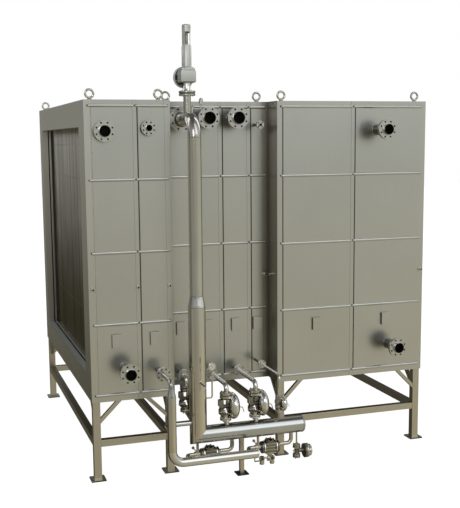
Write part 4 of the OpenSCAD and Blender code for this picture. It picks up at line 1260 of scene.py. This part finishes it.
def drain_trap(name, middle_x):
    # Places in the list of finishes
    # dark: painted shade in the gaps between flanges; bright: painted highlight
    cast, rib, pipe, polish, bright, dark = range(6)
    middle = Vector((middle_x, vessel.y, trap_height))

    def p(x, y, z):
        return middle + Vector((x, y, z))

    bm = bmesh.new()
    # Ribbed body between end flanges in pairs
    block(bm, p(-70, -60, -74), p(70, 60, 74), 14, cast)
    for z in (-66, -24, 18, 56):
        block(bm, p(-76, -70, z - 9), p(76, 70, z + 9), 5, rib)
    for s in (-1, 1):
        lathe(bm, disc(80, 0, 19, 3), p(s * 74, 0, 0), (s, 0, 0), 36, bright)
        lathe(bm, disc(70, 17, 26, 1), p(s * 74, 0, 0), (s, 0, 0), 36, dark)
        lathe(bm, disc(80, 24, 44, 3), p(s * 74, 0, 0), (s, 0, 0), 36, polish)
        stud_ring(p(s * 118, 0, 0), (s, 0, 0), 62, 4, 0.8, both=44)
    # Bonnet with its bolts, and sump
    lathe(bm, [(0, 72), (64, 72), (66, 76), (66, 92), (62, 96), (50, 100), (36, 106), (0, 110)],
          middle, sides=36, finish=polish)
    stud_ring(p(0, 0, 94), (0, 0, 1), 54, 6, 0.8)
    lathe(bm, [(0, -122), (26, -122), (30, -118), (44, -96), (44, -84), (48, -80), (48, -72),
               (0, -72)], middle, sides=32, finish=rib)
    lathe(bm, drum(15, -132, -118), middle, sides=6, finish=cast)
    # Loop from the vessel
    loop = [p(112, 0, 20), p(304, 0, 20), p(304, 0, vessel.z - trap_height - 90)]
    tube(bm, rounded(loop, 60), 26, 24, pipe)
    # Tee, balance tube and discharge
    tee = p(-160, 0, 10)
    lathe(bm, [(0, -44), (32, -44), (34, -40), (34, -26), (30, -22), (30, 22), (34, 26), (34, 40),
               (32, 44), (0, 44)], tee, to_right, 28, rib)
    lathe(bm, [(0, -10), (28, -10), (28, 30), (32, 34), (32, 46), (28, 50), (0, 50)], tee, sides=28,
          finish=rib)
    tube(bm, [tee + Vector((30, 0, 0)), tee + Vector((60, 0, 0))], 26, 20, pipe)
    tube(bm, [tee, Vector((tee.x, tee.y, vessel.z - 92))], 17, 18, pipe)
    out = [tee, tee + Vector((-146, 0, 0)), Vector((tee.x - 146, header_y + 40, tee.z))]
    tube(bm, rounded(out, 45), 24, 20, pipe)
    # Test cock on the tee
    knob = tee + Vector((-66, -20, 98))
    tube(bm, [tee + Vector((-6, 0, 20)), knob], 8, 12, rib)
    lathe(bm, [(0, -9), (15, -9), (20, -4), (20, 4), (15, 9), (0, 9)], knob, to_front, 8, cast)
    make_piece(name + "_castings", bm, drain_finishes, (name,))


left_x = low_of("drain_trap_left").x + 330
right_x = left_x + 820
drain_trap("drain_trap_left", left_x)
drain_trap("drain_trap_right", right_x)

# %% Test cups under the right drain trap


def test_cups(x0):
    y = vessel.y
    bm = bmesh.new()
    # Cross tube and cock under the sump
    lathe(bm, drum(12, 0, 38), (x0 - 8, y, 158), sides=16)
    lathe(bm, [(0, -30), (16, -30), (24, -16), (26, 0), (24, 16), (16, 30), (0, 30)],
          (x0 - 14, y, 160), sides=24, finish=1)
    lathe(bm, [(0, 0), (10, 0), (10, 34), (14, 38), (14, 48), (0, 48)], (x0 - 14, y - 20, 160),
          to_front, 14, 1)
    lathe(bm, drum(11, 0, 122), (x0 - 96, y, 174), to_right, 16)
    for x, low in ((x0 - 106, 91), (x0 + 35, 87)):
        lathe(bm, [(0, 0), (27, 0), (31, 4), (31, 64), (37, 68), (37, 92), (33, 100), (24, 108),
                   (0, 112)], (x, y, low), sides=28, finish=1)
        lathe(bm, disc(32, 62, 68, 1), (x, y, low), sides=28, finish=2)
        lathe(bm, [(0, 0), (20, 0), (20, 34), (16, 38), (0, 38)], (x - 4, y, low + 84), to_front, 20,
              2)
    # Tube from the header's end
    tube(bm, rounded([(1936, header_y, 306), (1936, header_y, 256), (x0 - 118, y - 20, 150)], 24), 8,
         14)
    make_piece("test_cups", bm, [pipe_metal, rib_metal, neck_metal])


test_cups(right_x)

# %% [markdown]
# ## Drain float valve
# At the blind end of the vessel a thin tube drops to a float valve: two bolted flanges, an arm
# and a round cover on its side.

# %% Drain float valve


def drain_float_valve():
    x = low_of("drain_float_valve").x + 50
    y = vessel.y
    foot = Vector((x, y, 0))
    bm = bmesh.new()
    lathe(bm, drum(11, 300, 496), foot, sides=16, finish=1)
    for low in (262, 132):
        lathe(bm, disc(50, low, low + 21, 2), foot, sides=30, finish=1)
        lathe(bm, disc(44, low + 21, low + 27, 1), foot, sides=30)
        lathe(bm, disc(50, low + 27, low + 48, 2), foot, sides=30, finish=1)
        stud_ring(foot + Vector((0, 0, low + 48)), (0, 0, 1), 38, 4, 0.65, both=48)
    lathe(bm, [(0, 178), (30, 178), (26, 190), (26, 204), (34, 210), (34, 236), (26, 242),
               (26, 254), (30, 264), (0, 264)], foot, sides=28)
    lathe(bm, drum(14, 118, 134), foot, sides=6)
    lathe(bm, [(0, 24), (30, 24), (30, 60), (26, 66), (26, 96), (0, 96)],
          foot + Vector((0, 0, 222)), to_right, 28)
    lathe(bm, [(0, 0), (12, 0), (12, 22), (8, 26), (0, 26)], foot + Vector((-24, 0, 222)),
          to_left, 6, 1)
    hub = foot + Vector((0, 0, 212))
    lathe(bm, [(0, 96), (60, 96), (90, 102), (94, 106), (94, 122), (91, 126), (0, 126)], hub,
          to_right, 48, 0)
    lathe(bm, disc(88, 125, 131, 1), hub, to_right, 48, 1)
    lathe(bm, [(0, 130), (91, 130), (93, 134), (92, 150), (88, 156), (82, 158), (78, 190),
               (70, 198), (40, 200), (0, 200)], hub, to_right, 48, 2)
    stud_ring(hub + Vector((156, 0, 0)), to_right, 83, 10, 0.75)
    make_piece("drain_float_valve_castings", bm, [cast_metal, cover_metal, rib_metal],
               ("drain_float_valve",))


drain_float_valve()

# %% [markdown]
# ## Cover plates
# Blank plates close the hand holes. Each is a pressed plate on a narrow gasket, held by six
# small screws. Their edges stand in shadow, so they get a darker finish.

# %% Cover plates


def cover_plates():
    low, high = low_of("inspection_plates"), high_of("inspection_plates")
    bm = bmesh.new()
    for x, y in ((337, 0), (830, 0), (1307, 480), (1686, 480), (2082, 480), (2394, 480),
                 (3134, 140), (4179, 140)):
        block(bm, (x - 60, y - 8, low.z + 2), (x + 60, y, high.z - 2), 1, 1)
        block(bm, (x - 62, y - 30, low.z), (x + 62, y - 7, high.z), 1.4)
        for sx in (-1, 1):
            for z in (low.z + 16, mid_of("inspection_plates").z, high.z - 16):
                lathe(bm, [(0, 0), (5, 0), (5, 2), (3.6, 3), (0, 3)], (x + sx * 50, y - 29.5, z),
                      to_front, 10)
    bm.normal_update()
    for face in bm.faces:
        if abs(face.normal.y) < 0.5 and face.calc_area() > 1500:
            face.material_index = 2
    make_piece("cover_plates", bm, [casing_sheet, dark_throat, neck_metal],
               ("inspection_plates",), sharp=8)


cover_plates()

# %% [markdown]
# ## Fastening it all
# All the studs and welds noted on the way are grown now, each from one host mesh.

# %% Studs and welds


def stud_host():
    host = bpy.data.meshes.new("stud_host")
    host.from_pydata([to_frame @ place for place, _, _ in studs], [], [])
    aims = host.attributes.new("aim", "FLOAT_VECTOR", "POINT")
    for i, (_, aim, _) in enumerate(studs):
        aims.data[i].vector = aim
    sizes = host.attributes.new("size", "FLOAT", "POINT")
    for i, (_, _, size) in enumerate(studs):
        sizes.data[i].value = size
    return host


def seam_host():
    """Each seam is a closed loop of edges"""
    points, edges = [], []
    for seam in seams:
        first, count = len(points), len(seam)
        points += [to_frame @ place for place in seam]
        edges += [(first + i, first + (i + 1) % count) for i in range(count)]
    host = bpy.data.meshes.new("seam_host")
    host.from_pydata(points, edges, [])
    return host


grown("studs_and_nuts", stud_host(), stud_tree, bolt_metal)
grown("weld_beads", seam_host(), weld_tree, weld_metal)
print(len(studs), "studs,", len(seams), "welds")

# %% [markdown]
# ## Studio
# Metal shows what is around it. The studio is plain white to the eye, and the metal mirrors a
# room of its own: an olive ground, a grey wall that is brightest just above eye level, a dark
# ceiling, and three soft boxes. A picture could be mirrored too, but ramps are easier to tune.

# %% Shades of the room


def ramp_of(tree, level, stops, reach=1.0):
    """Ramp from -reach to reach; a stop is a place and a colour or a grey"""
    ramp = node(tree, "ShaderNodeValToRGB", {"Fac": level})
    band = ramp.color_ramp
    while len(band.elements) < len(stops):
        band.elements.new(0.5)
    for element, (place, colour) in zip(band.elements, stops):
        element.position = (place / reach + 1) / 2
        element.color = (*colour, 1.0) if isinstance(colour, tuple) else grey(colour)
    return ramp.outputs["Color"]


# Heights run from -1, straight down, to 1, straight up
open_room = [
    (-1.0, (0.34, 0.31, 0.23)), (-0.83, (0.42, 0.39, 0.31)), (-0.66, (0.48, 0.43, 0.32)),
    (-0.38, (0.485, 0.44, 0.325)), (-0.24, (0.51, 0.465, 0.35)), (-0.10, (0.455, 0.445, 0.363)),
    (0.0, (0.45, 0.465, 0.428)), (0.20, (0.54, 0.555, 0.54)), (0.45, (0.50, 0.50, 0.49)),
    (0.80, (0.25, 0.25, 0.24)), (1.0, (0.12, 0.12, 0.11)),
]
dark_wall = [
    (-1.0, (0.30, 0.27, 0.20)), (-0.60, (0.10, 0.088, 0.058)), (-0.26, (0.09, 0.08, 0.052)),
    (-0.1, (0.25, 0.24, 0.19)), (0.0, (0.36, 0.355, 0.305)), (0.10, (0.28, 0.285, 0.27)),
    (0.2, (0.34, 0.36, 0.36)), (0.35, (0.30, 0.31, 0.31)), (1.0, (0.13, 0.13, 0.12)),
]
# Bearing in degrees from the front towards the left, and the room's brightness that way
turn_levels = [
    (-180, 1.0), (-166, 1.0), (-150, 0.45), (-134, 0.5), (-118, 0.72), (-106, 0.9), (-95, 0.95),
    (-80, 1.16), (-45, 1.18), (-30, 1.06), (-15, 0.96), (0, 0.88), (13, 0.80), (30, 0.72),
    (50, 0.70), (66, 0.76), (80, 0.70), (90, 0.62), (100, 0.50), (112, 0.42), (140, 0.36),
    (152, 0.6), (160, 1.0), (180, 1.0),
]
wall_start, wall_full = 0.05, -0.25
# Bearing, half width and brightness of each soft box
soft_boxes = [(-22.0, 22.0, 0.95), (118.0, 12.0, 1.5), (-110.0, 11.0, 1.7)]
box_low, box_high = 0.20, 0.88
# How softly a box ends, in height and in degrees
box_edge, box_fade = 0.04, 3


# %% Room that the metal mirrors


def bearing(degrees):
    return Vector((-sin(radians(degrees)), -cos(radians(degrees)), 0.0))


def room():
    world = bpy.data.worlds.new("studio")
    scene.world = world
    world.use_nodes = True
    tree = world.node_tree
    tree.nodes.clear()
    way = node(tree, "ShaderNodeTexCoord").outputs["Generated"]
    parts = node(tree, "ShaderNodeSeparateXYZ", {0: way})
    flat = calc_vector(tree, "MULTIPLY", way, (1.0, 1.0, 0.0))
    level_way = node(tree, "ShaderNodeVectorMath", {0: flat}, operation="NORMALIZE").outputs[0]

    def towards(degrees):
        return calc_vector(tree, "DOT_PRODUCT", level_way, bearing(degrees))

    height = parts.outputs["Z"]
    level = node(tree, "ShaderNodeMapRange", {"Value": height, "From Min": -1.0,
                                             "From Max": 1.0}).outputs[0]
    share = step(tree, towards(0.0), wall_start, wall_full)
    mixed = node(tree, "ShaderNodeMix", {"Factor": share}, data_type="RGBA")
    tree.links.new(ramp_of(tree, level, open_room), mixed.inputs[6])
    tree.links.new(ramp_of(tree, level, dark_wall), mixed.inputs[7])
    left = calc(tree, "MULTIPLY", parts.outputs["X"], -1.0)
    ahead = calc(tree, "MULTIPLY", parts.outputs["Y"], -1.0)
    turn = calc(tree, "ARCTAN2", left, ahead)
    turned = node(tree, "ShaderNodeMapRange", {"Value": turn, "From Min": -pi, "From Max": pi})
    around = ramp_of(tree, turned.outputs[0], turn_levels, 180.0)
    walls = calc_vector(tree, "MULTIPLY", mixed.outputs[2], around)
    in_band = calc(tree, "MULTIPLY", step(tree, height, box_low - box_edge, box_low + box_edge),
                   step(tree, height, box_high + box_edge, box_high - box_edge))
    glow = 0.0
    for place, half, brightness in soft_boxes:
        beam = step(tree, towards(place), cos(radians(half + box_fade)),
                    cos(radians(half - box_fade)))
        glow = calc(tree, "ADD", glow, calc(tree, "MULTIPLY", beam, brightness))
    total = calc_vector(tree, "ADD", walls, calc(tree, "MULTIPLY", glow, in_band))
    seen = node(tree, "ShaderNodeBackground", {"Color": grey(1.0), "Strength": 1.0})
    mirrored = node(tree, "ShaderNodeBackground", {"Color": total, "Strength": 1.0})
    ray = node(tree, "ShaderNodeLightPath").outputs["Is Camera Ray"]
    both = node(tree, "ShaderNodeMixShader", {0: ray, 1: mirrored.outputs[0], 2: seen.outputs[0]})
    node(tree, "ShaderNodeOutputWorld", {"Surface": both.outputs[0]})


room()
print("room with", len(soft_boxes), "soft boxes")

# %% Floor and light


def soft_light(name, place, target, size, watts):
    lamp = bpy.data.lights.new(name, "AREA")
    lamp.shape = "RECTANGLE"
    lamp.size, lamp.size_y = size
    lamp.energy = watts
    held = in_scene(name, lamp)
    held.location = place
    held.rotation_euler = (target - place).to_track_quat("-Z", "Y").to_euler()
    held.visible_camera = False


def floor():
    sheet = bpy.data.meshes.new("floor")
    half = 60.0
    sheet.from_pydata([(-half, -half, 0), (half, -half, 0), (half, half, 0), (-half, half, 0)],
                      [], [(0, 1, 2, 3)])
    made = in_scene("floor", sheet)
    paint = bpy.data.materials.new("floor_paint")
    paint.use_nodes = True
    shader = paint.node_tree.nodes["Principled BSDF"]
    shader.inputs["Base Color"].default_value = grey(0.25)
    shader.inputs["Roughness"].default_value = 0.9
    shader.inputs["Emission Color"].default_value = grey(1.0)
    shader.inputs["Emission Strength"].default_value = 0.96
    sheet.materials.append(paint)
    made.visible_glossy = False


floor()
soft_light("front_left", Vector((-7.0, -13.0, 8.5)), Vector((0, 0, 2.6)), (3.0, 5.0), 300.0)
print("floor and one soft light")

# %% Camera
# Its place in plant millimetres, and its turns in degrees
camera_place = Vector((-1902.7, -11171.7, 4297.7))
camera_turns = (18.24, 7.86, -0.54)


def camera():
    yaw, pitch, roll = (radians(turn) for turn in camera_turns)
    ahead = Vector((sin(yaw) * cos(pitch), cos(yaw) * cos(pitch), -sin(pitch)))
    level = Vector((cos(yaw), -sin(yaw), 0.0))
    up = level.cross(ahead)
    right = cos(roll) * level + sin(roll) * up
    top = -sin(roll) * level + cos(roll) * up
    lens = bpy.data.cameras.new("camera")
    lens.sensor_fit = "HORIZONTAL"
    lens.sensor_width = 36.0
    lens.lens = 71.8
    lens.shift_x = 0.0109
    lens.shift_y = 0.0278
    lens.clip_end = 200.0
    held = in_scene("camera", lens)
    turn = Matrix((right, top, -ahead)).transposed().to_4x4()
    held.matrix_world = Matrix.Translation(to_frame @ camera_place) @ turn
    scene.camera = held


camera()
scene.view_settings.view_transform = "Standard"
print("camera at", tuple(round(v, 2) for v in scene.camera.location))
